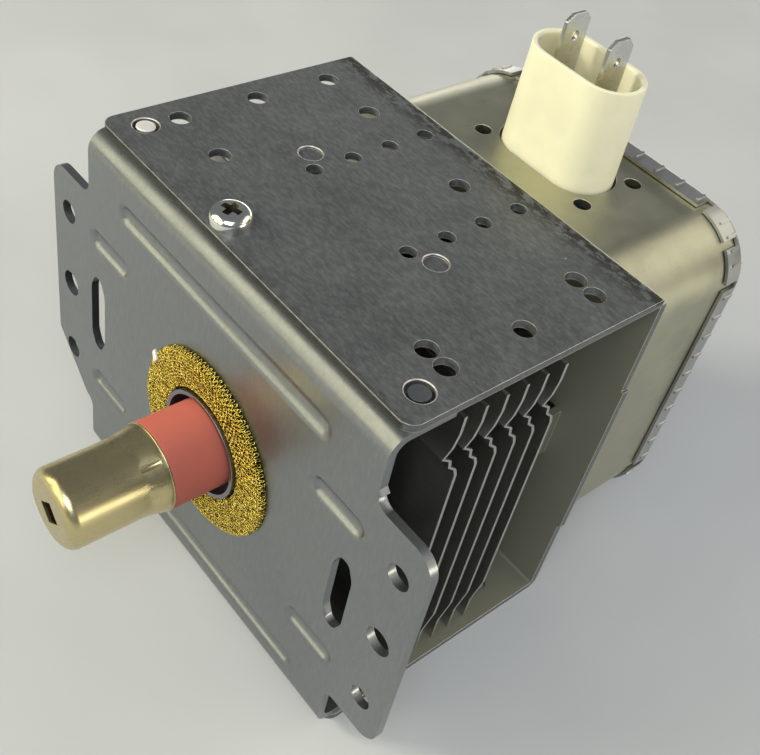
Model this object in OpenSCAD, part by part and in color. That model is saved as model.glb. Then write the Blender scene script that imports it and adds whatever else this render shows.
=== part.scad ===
// Microwave-oven magnetron: a vacuum tube clamped between ring magnets in a folded steel yoke.
// The mounting face lies on y = 0 and the antenna axis is the Y axis, with the antenna towards -Y.
// The filter box is at the rear, towards +Y, and its terminals point up, towards +Z.

/* [Yoke sheets] */
// Thickness of the steel sheet of both yokes
sheet_t = 1.5; // [1:0.1:2]
// Width of the rear yoke across its open sides
yoke_w = 80; // [76:1:92]
// Height of the rear yoke over its top and bottom plates
yoke_h = 80; // [78:1:92]
// Setback of the top and bottom plates behind the mounting face
yoke_setback = 2.35; // [1:0.05:3]
// Inner bend radius at the rear corners of the rear yoke
rear_bend_in = 0.7; // [0.4:0.1:2]
// Radius of the front corners of the top and bottom plates
plate_corner_r = 2.5; // [1:0.1:4]
// Extra width of the middle of the back plate on each side
back_step = 0.5; // [0:0.1:1]
// Height of the wider middle of the back plate
back_step_h = 38; // [20:1:60]

/* [Mounting plate] */
// Inset of the mounting plate's sides from the yoke's sides
plate_inset = 0.4; // [0:0.1:1]
// Inner bend radius of the mounting plate's flanges
front_bend_in = 2.2; // [1:0.1:3]
// Depth of the flanges behind the mounting face
flange_d = 12; // [11:0.1:12.5]
// Span over the two mounting ears
ear_span = 104.8; // [103:0.2:116]
// Height of an ear
ear_h = 51.4; // [46:0.2:56]
// Radius of the outer corners of the ears
ear_r = 4.2; // [2:0.1:5]
// Radius of the fillet between an ear and the plate
ear_fillet_r = 2.4; // [1:0.1:4]
// Leg of the corner cut at the bottom of the left ear
ear_cut = 10.5; // [8:0.1:11.5]
// Distance of an ear's holes from its outer edge
ear_hole_edge = 5.4; // [4.5:0.1:6]
// Distance of an ear's outer holes from its ends
ear_hole_end = 8.7; // [8:0.1:10]
// Diameter of the outer holes of an ear
ear_hole_d = 4.5; // [3.5:0.1:5.5]
// Diameter of the middle hole of an ear
ear_mid_hole_d = 5.2; // [4:0.1:6]
// Distance of a slot from the holes of the ear beside it
slot_from_holes = 10.2; // [9:0.1:11]
// Width of a slot
slot_w = 4.8; // [4:0.1:5.5]
// Length of a slot
slot_l = 17.6; // [14:0.2:20]
// Length of the tapered end of a slot
slot_taper = 3; // [2:0.1:4]
// Depth of the pressed beads
bead_depth = 0.9; // [0.5:0.1:1]
// Radius of the bead's groove
bead_r = 2.4; // [1.8:0.1:2.8]
// Length of the two long beads
long_bead_l = 56; // [40:1:60]
// Height of the long beads above and below the antenna axis
long_bead_z = 30; // [29.9:0.1:31.5]
// Length of the four short beads
short_bead_l = 12.5; // [8:0.5:13]
// Distance of the short beads' middles from the antenna axis
short_bead_x = 32.5; // [31:0.1:33]
// Height of the short beads above and below the antenna axis
short_bead_z = 17.2; // [15:0.1:19]

/* [Plate holes] */
// Distance of the outer hole columns from the sides of the yoke
vent_edge = 5.8; // [5:0.1:8]
// Sideways shift of the whole hole pattern
vent_shift = -0.7; // [-1.5:0.1:1.5]
// Distance of the first hole row from the front edge of the plate
vent_front = 12.35; // [12:0.05:14]
// Distance of the last hole row from the rear face of the yoke
vent_rear = 11.2; // [9:0.1:14]
// Diameter of the large holes
vent_d = 3.8; // [3:0.1:4]
// Pitch of the paired holes
vent_pair = 4.1; // [4.05:0.05:5]
// Distance between the second and the first hole column on the left
vent_second = 12.1; // [10:0.1:14]
// Position of the single hole in the last row, to the right of the middle
vent_single = 2.5; // [0:0.1:6]
// Distance between the two columns of small holes
small_span = 24.2; // [22:0.2:28]
// Pitch of the small holes
small_pitch = 8.28; // [7:0.02:8.6]
// Diameter of the small holes
small_d = 3; // [2:0.1:3.4]
// Distance between the two half-pierced dimples
dimple_span = 32.4; // [31.5:0.1:36]
// Diameter of a dimple
dimple_d = 4.2; // [3:0.1:4.4]
// Depth of a dimple
dimple_depth = 0.5; // [0.3:0.1:0.8]
// Distance of a locating button from the side of the yoke
button_edge = 4.75; // [4:0.05:6]
// Distance of a locating button from the front edge of the plate
button_front = 5.95; // [4.5:0.05:7]
// Diameter of the button holes
button_hole_d = 4.5; // [4:0.1:5]
// Clearance all round a button in its hole
button_clear = 0.55; // [0.1:0.05:0.8]
// Depth of a button below the plate's surface
button_low = 0.3; // [0.1:0.1:0.6]

/* [Yoke screw] */
// Distance of the screw to the left of the middle
screw_left = 7.25; // [3:0.05:20]
// Distance of the screw from the front edge of the plate
screw_front = 3.85; // [3.5:0.05:7]
// Diameter of the screw's head
screw_head_d = 6.9; // [6:0.1:8]
// Height of the screw's head
screw_head_h = 2.6; // [2:0.1:3]
// Diameter of the screw's shank
screw_d = 4; // [3:0.1:4.4]
// Length of the screw below its head
screw_l = 7; // [5:0.5:8]
// Clearance all round the screw in the top plate
screw_clear = 0.2; // [0.05:0.05:0.3]

/* [Magnets] */
// Outer diameter of the ring magnets
magnet_d = 54.6; // [50:0.2:54.8]
// Thickness of a ring magnet
magnet_t = 12.5; // [12:0.1:13.5]
// Clearance between a magnet and the seal cup inside it
magnet_clear = 0.5; // [0.3:0.1:1]
// Clearance between the rear magnet and the tabs that hold it
tab_clear = 2.2; // [0.2:0.1:2.6]
// Height of a magnet tab
tab_h = 11.4; // [8:0.2:18]
// Length of a magnet tab
tab_l = 6; // [4:0.5:8]

/* [Vacuum tube] */
// Outer diameter of the anode cylinder
anode_d = 38; // [36:0.5:42]
// Wall of the anode cylinder
anode_wall = 2; // [1.5:0.1:2.5]
// Length of the anode cylinder
anode_l = 25; // [24:0.5:28]
// Thickness of an anode vane
vane_t = 2; // [1.4:0.1:2.2]
// Height of an anode vane along the axis
vane_h = 9.5; // [8.5:0.1:10]
// Radius of the circle of vane tips
vane_tip_r = 4.6; // [4.2:0.1:5.4]
// Width of a strap ring across its radius
strap_w = 1; // [0.6:0.1:1.2]
// Thickness of a strap ring
strap_t = 1.2; // [0.8:0.1:1.4]
// Inner radius of the smaller strap ring
strap_r = 6.2; // [6:0.1:6.6]
// Gap between the straps and from a strap to a notch's wall
strap_gap = 0.6; // [0.4:0.05:0.7]
// Thickness of a pole piece
pole_t = 1.6; // [1.2:0.1:2]
// Radius of the hole in a pole piece
pole_hole_r = 4.7; // [4.4:0.1:5]
// Outer radius of a pole piece's flat tip
pole_tip_r = 8; // [7.5:0.1:8.4]
// Inner radius of a pole piece's flange
pole_flange_r = 13.4; // [12.8:0.1:14]
// Distance from a pole piece's tip to the vanes
pole_gap = 1.6; // [1.2:0.1:2]
// Thickness of the seal cups' sheet
seal_t = 0.8; // [0.6:0.1:1]
// Outer diameter of the seal cups' tubes
seal_d = 20.3; // [19:0.1:21]
// Outer diameter of the seal cups' flanges
seal_flange_d = 36; // [30:0.5:37]
// Length of the output seal's tube in front of the mounting face
seal_lip = 1.7; // [1:0.1:2.5]
// Depth of the output ceramic's seat behind the mounting face
ceramic_seat = 3; // [2:0.1:6]
// Outer diameter of the output ceramic
ceramic_d = 16; // [15:0.1:17]
// Wall of the output ceramic
ceramic_wall = 3; // [2.4:0.1:3.4]
// Length of the output ceramic in front of the mounting face
ceramic_front = 10.95; // [9:0.05:14]
// Outer diameter of the antenna cap
cap_d = 14.4; // [14:0.1:14.8]
// Wall of the antenna cap
cap_wall = 0.5; // [0.4:0.05:0.6]
// Length of the antenna cap
cap_l = 18.25; // [16.5:0.05:22]
// Radius of the antenna cap's closed end
cap_edge_r = 2; // [1.5:0.1:3]
// Width of the four-sided opening in the cap's end
cap_hole_w = 3.8; // [2.5:0.1:4.4]
// Turn of the four-sided opening
cap_hole_turn = 40; // [0:1:89]
// Outer diameter of the cap's flared rim
cap_rim_d = 15.8; // [15:0.1:15.9]
// Length of the flare at the cap's open end
cap_flare_l = 4.5; // [4:0.1:6]
// Length of a crimp mark on the cap's flare
crimp_l = 3.5; // [2:0.1:3.6]
// Depth of a crimp mark
crimp_depth = 0.3; // [0.1:0.05:0.35]
// Outer diameter of the exhaust tube
exhaust_d = 4.7; // [4:0.1:5]
// Diameter of the antenna lead
antenna_lead_d = 2.4; // [2:0.1:2.6]
// Distance of the antenna lead's foot from the axis
antenna_foot_r = 10.4; // [10.2:0.1:10.8]
// Mean radius of the filament's helix
filament_r = 1.9; // [1.6:0.1:2.2]
// Diameter of the filament's wire
filament_wire = 0.5; // [0.4:0.05:0.6]
// Diameter of an end hat
hat_d = 7.2; // [6.8:0.1:8]
// Thickness of an end hat
hat_t = 1.1; // [0.8:0.1:1.4]
// Diameter of the cathode leads
lead_d = 1; // [0.8:0.05:1.2]
// Distance of the cathode leads from the axis at the stem
lead_x = 2.7; // [2.6:0.05:3]
// Diameter of the stem ceramic
stem_d = 17; // [16:0.1:17.4]
// Length of the stem ceramic
stem_l = 12; // [11:0.5:13]

/* [RF gasket] */
// Outer diameter of the wire gasket
gasket_d = 35.8; // [32:0.1:40]
// Thickness of the wire gasket
gasket_t = 2; // [1.6:0.1:4]
// Clearance between the gasket and the seal cup
gasket_clear = 0.2; // [0.1:0.05:0.5]

/* [Cooling fins] */
// Thickness of a fin
fin_t = 0.6; // [0.4:0.05:0.8]
// Inset of the fins' sides from the yoke's sides
fin_inset = 2; // [1:0.1:4]
// Distance from the anode's front end to the first fin
fin_first = 2.7; // [2.6:0.1:4]
// Distance from the last fin to the anode's rear end
fin_last = 0.5; // [0.4:0.1:2]
// Gap between the fins' upper tips and the top plate
fin_top_gap = 5.9; // [4.5:0.1:8]
// Gap between the fins' lower tips and the bottom plate
fin_foot_gap = 0.3; // [0.1:0.1:2]
// Height of the upright lip along a fin's top
fin_lip_h = 6.5; // [5:0.1:7]
// Setback of the lip and the foot in front of the fin's main plane
fin_lip_back = 2.2; // [1.4:0.1:2.4]
// Reach of the crease below the lip in front of the fin's main plane
fin_crease = 4.4; // [3.4:0.1:4.5]
// Height of the jog along a fin's foot
fin_foot_jog = 4; // [3:0.1:5]
// Height of the straight part of a fin's foot
fin_foot_h = 6; // [4:0.1:7]
// Height of the fins' collars round the anode
collar_h = 2.4; // [1.6:0.1:2.5]
// Clearance of the pressed fits in the solids
press_clear = 0.05; // [0.02:0.01:0.1]

/* [Filter box] */
// Width of the filter box
box_w = 70.4; // [66:0.2:76]
// Height of the filter box
box_h = 71.8; // [68:0.2:76]
// Height of the box's middle above the antenna axis
box_z = 0.85; // [-1:0.05:2]
// Depth of the filter box
box_d = 33.4; // [33:0.2:42]
// Corner radius of the filter box
box_r = 11.8; // [8:0.1:14]
// Wall of the filter box and its lid
box_t = 0.6; // [0.4:0.1:0.8]
// Clearance between the lid's skirt and the box
lid_clear = 0.15; // [0.05:0.05:0.3]
// Length of the lid's skirt
skirt_l = 4.6; // [3.6:0.1:6]
// Pitch of the ribs pressed across the skirt
rib_pitch = 5.05; // [4.5:0.05:6]
// Width of a rib
rib_w = 0.5; // [0.3:0.1:0.8]
// Width of the gaps that part the skirt at its corners
corner_gap = 1.5; // [0.8:0.1:2]

/* [Capacitor and chokes] */
// Length of the connector shroud at its foot
shroud_l = 24.2; // [23:0.2:25]
// Width of the connector shroud at its foot
shroud_w = 14; // [13:0.2:15]
// Height of the shroud's rim above the box
shroud_h = 19.8; // [16:0.2:24]
// Draft of the shroud on each side
shroud_draft = 0.5; // [0:0.1:0.8]
// Wall of the shroud
shroud_wall = 1.1; // [0.8:0.1:1.4]
// Height of the shroud's floor above the box
shroud_floor = 4; // [2:0.5:6]
// Clearance all round the shroud in the box and in the flange plate
shroud_clear = 0.5; // [0.2:0.1:0.8]
// Distance of the shroud's middle behind the rear yoke
shroud_back = 16.8; // [15:0.2:18]
// Width of a terminal blade
blade_w = 6.3; // [4.8:0.1:6.6]
// Thickness of a terminal blade
blade_t = 0.8; // [0.6:0.05:1]
// Height of the blades above the shroud's rim
blade_rise = 6.5; // [4:0.1:8]
// Distance between the two blades
blade_pitch = 10; // [9:0.1:11]
// Diameter of a blade's detent hole
detent_d = 1.7; // [1.4:0.1:2]
// Distance of the detent hole below the blade's tip
detent_low = 4.2; // [3.5:0.1:5]
// Diameter of the conductors through the capacitor
conductor_d = 3; // [2.4:0.1:3.4]
// Distance between the flange holes along the shroud
flange_hole_x = 26; // [26:0.2:30]
// Distance between the flange holes across the shroud
flange_hole_y = 14.2; // [14:0.2:16]
// Diameter of the flange holes
flange_hole_d = 3.3; // [2.6:0.1:3.6]
// Thickness of the capacitor's flange plate
flange_t = 1; // [0.6:0.1:1.4]
// Height of the capacitor's body below the flange plate
body_h = 17; // [14:0.5:18]
// Diameter of the choke wire
wire_d = 1.4; // [1.2:0.1:1.6]
// Number of turns of a choke coil
choke_turns = 6; // [4:1:6]
// Diameter of a choke's core
core_d = 5; // [4:0.1:5.6]

/* [Hidden] */
$fn = 48;
fin_count = 6;
vane_count = 10;

// Length that cutting solids run past a face
over = 1;
// The stack along the axis, from the mounting plate to the back plate
magnet1_y = sheet_t;
seal1_y = magnet1_y + magnet_t;
pole1_y = seal1_y + seal_t;
anode_y = pole1_y + pole_t;
pole2_y = anode_y + anode_l;
seal2_y = pole2_y + pole_t;
magnet2_y = seal2_y + seal_t;
back_in = magnet2_y + magnet_t;
back_out = back_in + sheet_t;
tube_mid = anode_y + anode_l / 2;
// Rear yoke
plate_in = yoke_h / 2 - sheet_t;
rear_bend_out = rear_bend_in + sheet_t;
// Mounting plate
plate_half = yoke_w / 2 - plate_inset;
front_bend_out = front_bend_in + sheet_t;
ear_hole_x = ear_span / 2 - ear_hole_edge;
ear_hole_z = ear_h / 2 - ear_hole_end;
slot_x = ear_hole_x - slot_from_holes;
button_d = button_hole_d - 2 * button_clear;
slot_tip_w = slot_w / 2.4;
clip_turn = 151;
clip_w = 1;
clip_l = 2.5;
clip_t = 0.5;
strip_tab_z = 28;
strip_tab = 0.8;
// Vacuum tube
anode_r = anode_d / 2;
anode_in = anode_r - anode_wall;
vane_y = tube_mid - vane_h / 2;
vane_end = tube_mid + vane_h / 2;
seal_r = seal_d / 2;
seal_in = seal_r - seal_t;
ceramic_r = ceramic_d / 2;
ceramic_in = ceramic_r - ceramic_wall;
cap_r = cap_d / 2;
cap_in = cap_r - cap_wall;
cap_open_y = -ceramic_front;
cap_end_y = cap_open_y - cap_l;
crimp_count = 3;
crimp_first = 65;
crimp_w = 1.6;
rim_l = 0.8;
rim_r = cap_rim_d / 2;
flare_turn = atan2(rim_r - cap_r, cap_flare_l - rim_l);
top_seal_h = 3;
exhaust_l = 0.72 * cap_l;
exhaust_in = antenna_lead_d / 2 + 0.3;
pinch_l = 3;
strap2_r = strap_r + strap_w + strap_gap;
hat_gap = 0.8;
hat1_y = vane_y - hat_gap;
hat2_y = vane_end + hat_gap - hat_t;
stem_seat = back_in - 1;
stem_y = stem_seat + seal_t;
stem_end = stem_y + stem_l;
terminal_t = 0.8;
terminal_h = 6;
terminal_in = 1;
terminal_out = 11;
// Cooling fins
fin_half = yoke_w / 2 - fin_inset;
fin_pitch = (anode_l - fin_first - fin_last) / (fin_count - 1);
fin_tip_z = plate_in - fin_top_gap;
fin_lip_z = fin_tip_z - fin_lip_h;
fin_crease_z = fin_lip_z - 1.7;
fin_main_z = fin_crease_z - 6.2;
fin_foot_z = -plate_in + fin_foot_gap;
collar_t = 0.6;
// Filter box
box_top = box_z + box_h / 2;
box_in_top = box_top - box_t;
lid_out = back_out + box_d + box_t;
skirt_y = lid_out - skirt_l;
lid_grow = lid_clear + box_t;
gap_from_back = 0.9;
rib_h = 0.3;
rib_from_edge = 1.2;
rib_y = skirt_y + rib_from_edge;
rib_l = skirt_l - rib_from_edge - gap_from_back;
corner_gaps = [6, 45, 84];
corner_ribs = [26, 39, 51, 64];
stem_hole_d = seal_d + 4;
// Capacitor and chokes
shroud_y = back_out + shroud_back;
shroud_rim = box_top + shroud_h;
shroud_floor_z = box_top + shroud_floor;
flange_z = box_in_top - flange_t;
body_z = flange_z - body_h;
blade_x = blade_pitch / 2;
blade_top = shroud_rim + blade_rise;
flange_w = flange_hole_x + flange_hole_d + 6;
flange_b = flange_hole_y + flange_hole_d + 5;
conductor_out = 3;
conductor_end = body_z - conductor_out;
coil_r = core_d / 2 + 0.35 + wire_d / 2;
coil_x = blade_x + coil_r;
coil_top = conductor_end - 1.5 * wire_d;
coil_foot = 1.5 * wire_d;
coil_h = coil_top - coil_foot;
wire_sides = 8;
turn_steps = 14;

// Puts a shape that is drawn along +Z along +Y instead, from the given place
module along_y(y) {
    translate([0, y, 0])
        rotate([-90, 0, 0])
            children();
}

// A ring along +Y
module ring_y(y, length, outer_r, inner_r) {
    along_y(y)
        difference() {
            cylinder(h = length, r = outer_r);
            translate([0, 0, -over])
                cylinder(h = length + 2 * over, r = inner_r);
        }
}

// Rectangle with round corners, centred
module round_rect(w, h, r) {
    square([w - 2 * r, h], center = true);
    square([w, h - 2 * r], center = true);
    for (x = [-1, 1], y = [-1, 1])
        translate([x * (w / 2 - r), y * (h / 2 - r)])
            circle(r);
}

// Oval with straight sides and round ends, along X
module oval(length, width) {
    square([length - width, width], center = true);
    for (x = [-1, 1])
        translate([x * (length - width) / 2, 0])
            circle(d = width);
}

// Quarter of a bent sheet, in the first quadrant
module bend(inner, outer) {
    intersection() {
        difference() {
            circle(outer);
            circle(inner);
        }
        square(outer + over);
    }
}

// Extrudes an outline drawn in Y and Z along X, to both sides of the middle
module across_x(width) {
    rotate([90, 0, 90])
        translate([0, 0, -width / 2])
            linear_extrude(width)
                children();
}

// Extrudes an outline drawn in X and Z along +Y
module along_depth(y, depth) {
    translate([0, y + depth, 0])
        rotate([90, 0, 0])
            linear_extrude(depth)
                children();
}

// Direction of a path at its point i
function way(path, i) = path[min(i + 1, len(path) - 1)] - path[max(i - 1, 0)];

// The part of a that is square to v, of length 1
function square_to(a, v) =
    let (w = a - v * (a * v) / (v * v))
    w / norm(w);

// Sideways directions along a path, each carried on from the one before it
function carried(path, a, i = 0) =
    i == len(path) ? [] :
    let (w = square_to(a, way(path, i)))
    concat([w], carried(path, w, i + 1));

// Points of a ring of a wire at p, square to the direction v
function wire_ring(p, v, a, r) =
    let (b = cross(v, a) / norm(v))
    [for (k = [0:wire_sides - 1])
        p + r * (cos(360 * k / wire_sides) * a + sin(360 * k / wire_sides) * b)];

// Wire of diameter d along a path of points
module wire(path, d) {
    n = len(path);
    s = wire_sides;
    start = way(path, 0);
    aside = carried(path, abs(start[2]) > 0.9 * norm(start) ? [1, 0, 0] : [0, 0, 1]);
    points = [for (i = [0:n - 1]) each wire_ring(path[i], way(path, i), aside[i], d / 2)];
    walls = [for (i = [0:n - 2], k = [0:s - 1])
        [i * s + k, i * s + (k + 1) % s, (i + 1) * s + (k + 1) % s, (i + 1) * s + k]];
    first = [[for (k = [s - 1:-1:0]) k]];
    last = [[for (k = [0:s - 1]) (n - 1) * s + k]];
    polyhedron(points, concat(walls, first, last));
}

// Section of the cap's flare, from the axis out to the given radii
module cap_flare(r, end_r, past) {
    polygon([[0, cap_l - cap_flare_l], [r, cap_l - cap_flare_l], [end_r, cap_l - rim_l],
             [end_r, cap_l + past], [0, cap_l + past]]);
}

module antenna_cap() {
    hole_diag = cap_hole_w * sqrt(2);
    color("#c9bf95")
        difference() {
            along_y(cap_end_y)
                rotate_extrude()
                    difference() {
                        union() {
                            translate([0, cap_edge_r])
                                square([cap_r, cap_l - cap_flare_l - cap_edge_r]);
                            cap_flare(cap_r, rim_r, 0);
                            square([cap_r - cap_edge_r, cap_edge_r + over / 2]);
                            translate([cap_r - cap_edge_r, cap_edge_r])
                                intersection() {
                                    circle(cap_edge_r);
                                    translate([0, -cap_edge_r])
                                        square(cap_edge_r);
                                }
                        }
                        translate([0, cap_wall])
                            square([cap_in - cap_edge_r, cap_edge_r]);
                        translate([0, cap_edge_r])
                            square([cap_in, cap_l - cap_flare_l - cap_edge_r + over]);
                        cap_flare(cap_in, rim_r - cap_wall, over);
                        translate([cap_r - cap_edge_r, cap_edge_r])
                            circle(cap_edge_r - cap_wall);
                    }
            along_depth(cap_end_y - over, cap_wall + 2 * over)
                rotate(cap_hole_turn)
                    square(cap_hole_w, center = true);
            for (i = [0:crimp_count - 1])
                rotate([0, crimp_first + i * 360 / crimp_count, 0])
                    translate([cap_r, cap_open_y - cap_flare_l, 0])
                        rotate([0, 0, -flare_turn])
                            translate([crimp_w / 2 - crimp_depth, 0, 0])
                                rotate([-90, 0, 0])
                                    cylinder(h = crimp_l, d = crimp_w);
        }
}

module output_top_seal() {
    color("silver")
        along_y(cap_open_y - top_seal_h)
            difference() {
                cylinder(h = top_seal_h, r = cap_in - press_clear);
                translate([0, 0, -over])
                    cylinder(h = top_seal_h - seal_t + over, r = cap_in - press_clear - seal_t);
                translate([0, 0, -over])
                    cylinder(h = top_seal_h + 2 * over, d = exhaust_d + 2 * press_clear);
            }
}

module exhaust_tube() {
    color("#b87333") {
        along_y(cap_open_y - exhaust_l)
            difference() {
                cylinder(h = exhaust_l, d = exhaust_d);
                translate([0, 0, pinch_l])
                    cylinder(h = exhaust_l, r = exhaust_in);
            }
        translate([-exhaust_d / 2, cap_open_y - exhaust_l - pinch_l, -seal_t / 2])
            cube([exhaust_d, pinch_l + seal_t, seal_t]);
    }
}

// Runs from its foot on the topmost vane to the axis and into the exhaust tube
module antenna_lead() {
    foot = [0, vane_y, antenna_foot_r];
    bend1 = [0, pole1_y + 4, antenna_foot_r];
    bend2 = [0, ceramic_seat + seal_t, 0];
    tip = [0, cap_open_y - exhaust_l / 2, 0];
    color("#b87333")
        wire([foot, bend1, bend2, tip], antenna_lead_d);
}

module output_ceramic() {
    color("#d9736b")
        ring_y(cap_open_y, ceramic_front + ceramic_seat, ceramic_r, ceramic_in);
}

// Flange, tube and inner ledge of a seal cup, drawn as a section with the flange on the right
module seal_cup(flange_y, tube_y, tube_l, ledge_y) {
    ring_y(flange_y, seal_t, seal_flange_d / 2, seal_in);
    ring_y(tube_y, tube_l, seal_r, seal_in);
    ring_y(ledge_y, seal_t, seal_r, ceramic_in + 1);
}

module output_seal_cup() {
    color("silver")
        seal_cup(seal1_y, -seal_lip, seal1_y + seal_t + seal_lip, ceramic_seat);
}

module rf_gasket() {
    width = gasket_d / 2 - seal_r - gasket_clear;
    color("#b8973a")
        along_y(-gasket_t)
            rotate_extrude($fn = 96)
                translate([seal_r + gasket_clear + width / 2, gasket_t / 2])
                    round_rect(width, gasket_t, gasket_t * 0.42);
}

// A pressed bead along X: the trough, or with grow the outside of the pressed sheet
module bead(x, z, length, grow = 0) {
    r = bead_r + grow;
    half = length / 2 - bead_r;
    translate([x, bead_depth - bead_r, z]) {
        rotate([0, 90, 0])
            cylinder(h = 2 * half, r = r, center = true);
        for (s = [-1, 1])
            translate([s * half, 0, 0])
                sphere(r);
    }
}

module beads(grow = 0) {
    for (s = [-1, 1]) {
        bead(0, s * long_bead_z, long_bead_l, grow);
        for (x = [-1, 1])
            bead(x * short_bead_x, s * short_bead_z, short_bead_l, grow);
    }
}

// One ear with its fillets, on the right
module ear_outline() {
    reach = ear_span / 2 - plate_half;
    difference() {
        translate([plate_half + reach / 2 - ear_r, 0])
            round_rect(reach + 2 * ear_r, ear_h, ear_r);
        translate([plate_half - 2 * ear_r - over, -ear_h])
            square([2 * ear_r, 2 * ear_h]);
    }
    for (s = [-1, 1])
        mirror([0, s < 0 ? 1 : 0])
            difference() {
                translate([plate_half - over, ear_h / 2 - over])
                    square(ear_fillet_r + over);
                translate([plate_half + ear_fillet_r, ear_h / 2 + ear_fillet_r])
                    circle(ear_fillet_r);
            }
}

module ears() {
    ear_outline();
    mirror([1, 0])
        difference() {
            ear_outline();
            translate([ear_span / 2, -ear_h / 2])
                rotate(45)
                    square(ear_cut * sqrt(2), center = true);
        }
}

module slot_outline() {
    half = slot_l / 2;
    straight = half - slot_taper;
    polygon([[-slot_w / 2, -straight], [-slot_tip_w / 2, -half], [slot_tip_w / 2, -half],
             [slot_w / 2, -straight], [slot_w / 2, straight], [slot_tip_w / 2, half],
             [-slot_tip_w / 2, half], [-slot_w / 2, straight]]);
}

// Section of the mounting plate and its two flanges
module front_section() {
    flat_half = plate_in - front_bend_out;
    translate([0, -flat_half])
        square([sheet_t, 2 * flat_half]);
    for (s = [0, 1])
        mirror([0, s]) {
            translate([front_bend_out, flat_half])
                rotate(90)
                    bend(front_bend_in, front_bend_out);
            translate([front_bend_out, plate_in - sheet_t])
                square([flange_d - front_bend_out, sheet_t]);
        }
}

module front_yoke() {
    color("#9aa3ab")
        difference() {
            union() {
                across_x(2 * plate_half)
                    front_section();
                along_depth(0, sheet_t)
                    ears();
                intersection() {
                    beads(sheet_t);
                    translate([-plate_half, sheet_t / 2, -plate_in])
                        cube([2 * plate_half, flange_d, 2 * plate_in]);
                }
                for (x = [-1, 1], s = [0, 1])
                    mirror([0, 0, s])
                        translate([x * (yoke_w / 2 - button_edge), yoke_setback + button_front,
                                   plate_in - over])
                            cylinder(h = over + sheet_t - button_low, d = button_d);
                rotate([0, -clip_turn, 0]) {
                    translate([gasket_d / 2, -gasket_t - clip_t, -clip_w / 2])
                        cube([clip_t, gasket_t + clip_t + over, clip_w]);
                    translate([gasket_d / 2 - clip_l + clip_t, -gasket_t - clip_t, -clip_w / 2])
                        cube([clip_l, clip_t, clip_w]);
                }
                along_depth(0, sheet_t)
                    polygon([[plate_half - over, strip_tab_z - strip_tab],
                             [plate_half + strip_tab, strip_tab_z],
                             [plate_half, strip_tab_z + strip_tab],
                             [plate_half - over, strip_tab_z + strip_tab]]);
            }
            beads();
            along_y(-over)
                cylinder(h = sheet_t + 2 * over, r = seal_r + magnet_clear);
            for (x = [-1, 1]) {
                for (k = [-1, 1])
                    translate([x * ear_hole_x, -over, k * ear_hole_z])
                        rotate([-90, 0, 0])
                            cylinder(h = sheet_t + 2 * over, d = ear_hole_d);
                translate([x * ear_hole_x, -over, 0])
                    rotate([-90, 0, 0])
                        cylinder(h = sheet_t + 2 * over, d = ear_mid_hole_d);
                along_depth(-over, sheet_t + 2 * over)
                    translate([x * slot_x, 0])
                        slot_outline();
            }
            translate([-screw_left, yoke_setback + screw_front, plate_in - sheet_t - over])
                cylinder(h = sheet_t + 2 * over, d = screw_d + 2 * press_clear);
        }
}

// Section of the rear yoke: top, back and bottom plate
module rear_section() {
    bend_y = back_out - rear_bend_out;
    bend_z = yoke_h / 2 - rear_bend_out;
    translate([back_in, -bend_z])
        square([sheet_t, 2 * bend_z]);
    for (s = [0, 1])
        mirror([0, s]) {
            translate([yoke_setback, plate_in])
                square([bend_y - yoke_setback, sheet_t]);
            translate([bend_y, bend_z])
                bend(rear_bend_in, rear_bend_out);
        }
}

// Places of the large and the small holes of a plate, and of its buttons
vent_left = -yoke_w / 2 + vent_edge + vent_shift;
vent_right = yoke_w / 2 - vent_edge + vent_shift;
row1 = yoke_setback + vent_front;
row3 = back_out - vent_rear;
row2 = (row1 + row3) / 2;
large_holes = [[vent_left, row1], [vent_left, row2], [vent_left, row3],
               [vent_left + vent_second, row1], [vent_left + vent_second, row3],
               [vent_single + vent_shift, row3],
               [vent_right - vent_pair, row1], [vent_right, row1], [vent_right, row2],
               [vent_right - vent_pair, row3], [vent_right, row3]];
small_row = row3 + 4.9;
small_holes = [for (s = [-1, 1], k = [0:3])
    [vent_shift + s * small_span / 2, small_row - k * small_pitch]];
dimple_row = row2 - 1.7;

// Holes of the top plate, which are repeated in the bottom plate
module plate_holes() {
    depth = sheet_t + 2 * over;
    translate([0, 0, plate_in - over]) {
        for (p = large_holes)
            translate(p)
                cylinder(h = depth, d = vent_d);
        for (p = small_holes)
            translate(p)
                cylinder(h = depth, d = small_d);
        for (x = [-1, 1])
            translate([x * (yoke_w / 2 - button_edge), yoke_setback + button_front, 0])
                cylinder(h = depth, d = button_hole_d);
    }
    for (x = [-1, 1])
        translate([vent_shift + x * dimple_span / 2, dimple_row, yoke_h / 2 - dimple_depth])
            cylinder(h = over, d = dimple_d);
}

// Cuts the front corners of the top and bottom plates round
module plate_corner() {
    translate([yoke_w / 2 - plate_corner_r, yoke_setback + plate_corner_r, -yoke_h / 2 - over])
        difference() {
            translate([0, -plate_corner_r - over, 0])
                cube([plate_corner_r + over, plate_corner_r + over, yoke_h + 2 * over]);
            translate([0, 0, -over])
                cylinder(h = yoke_h + 4 * over, r = plate_corner_r);
        }
}

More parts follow.
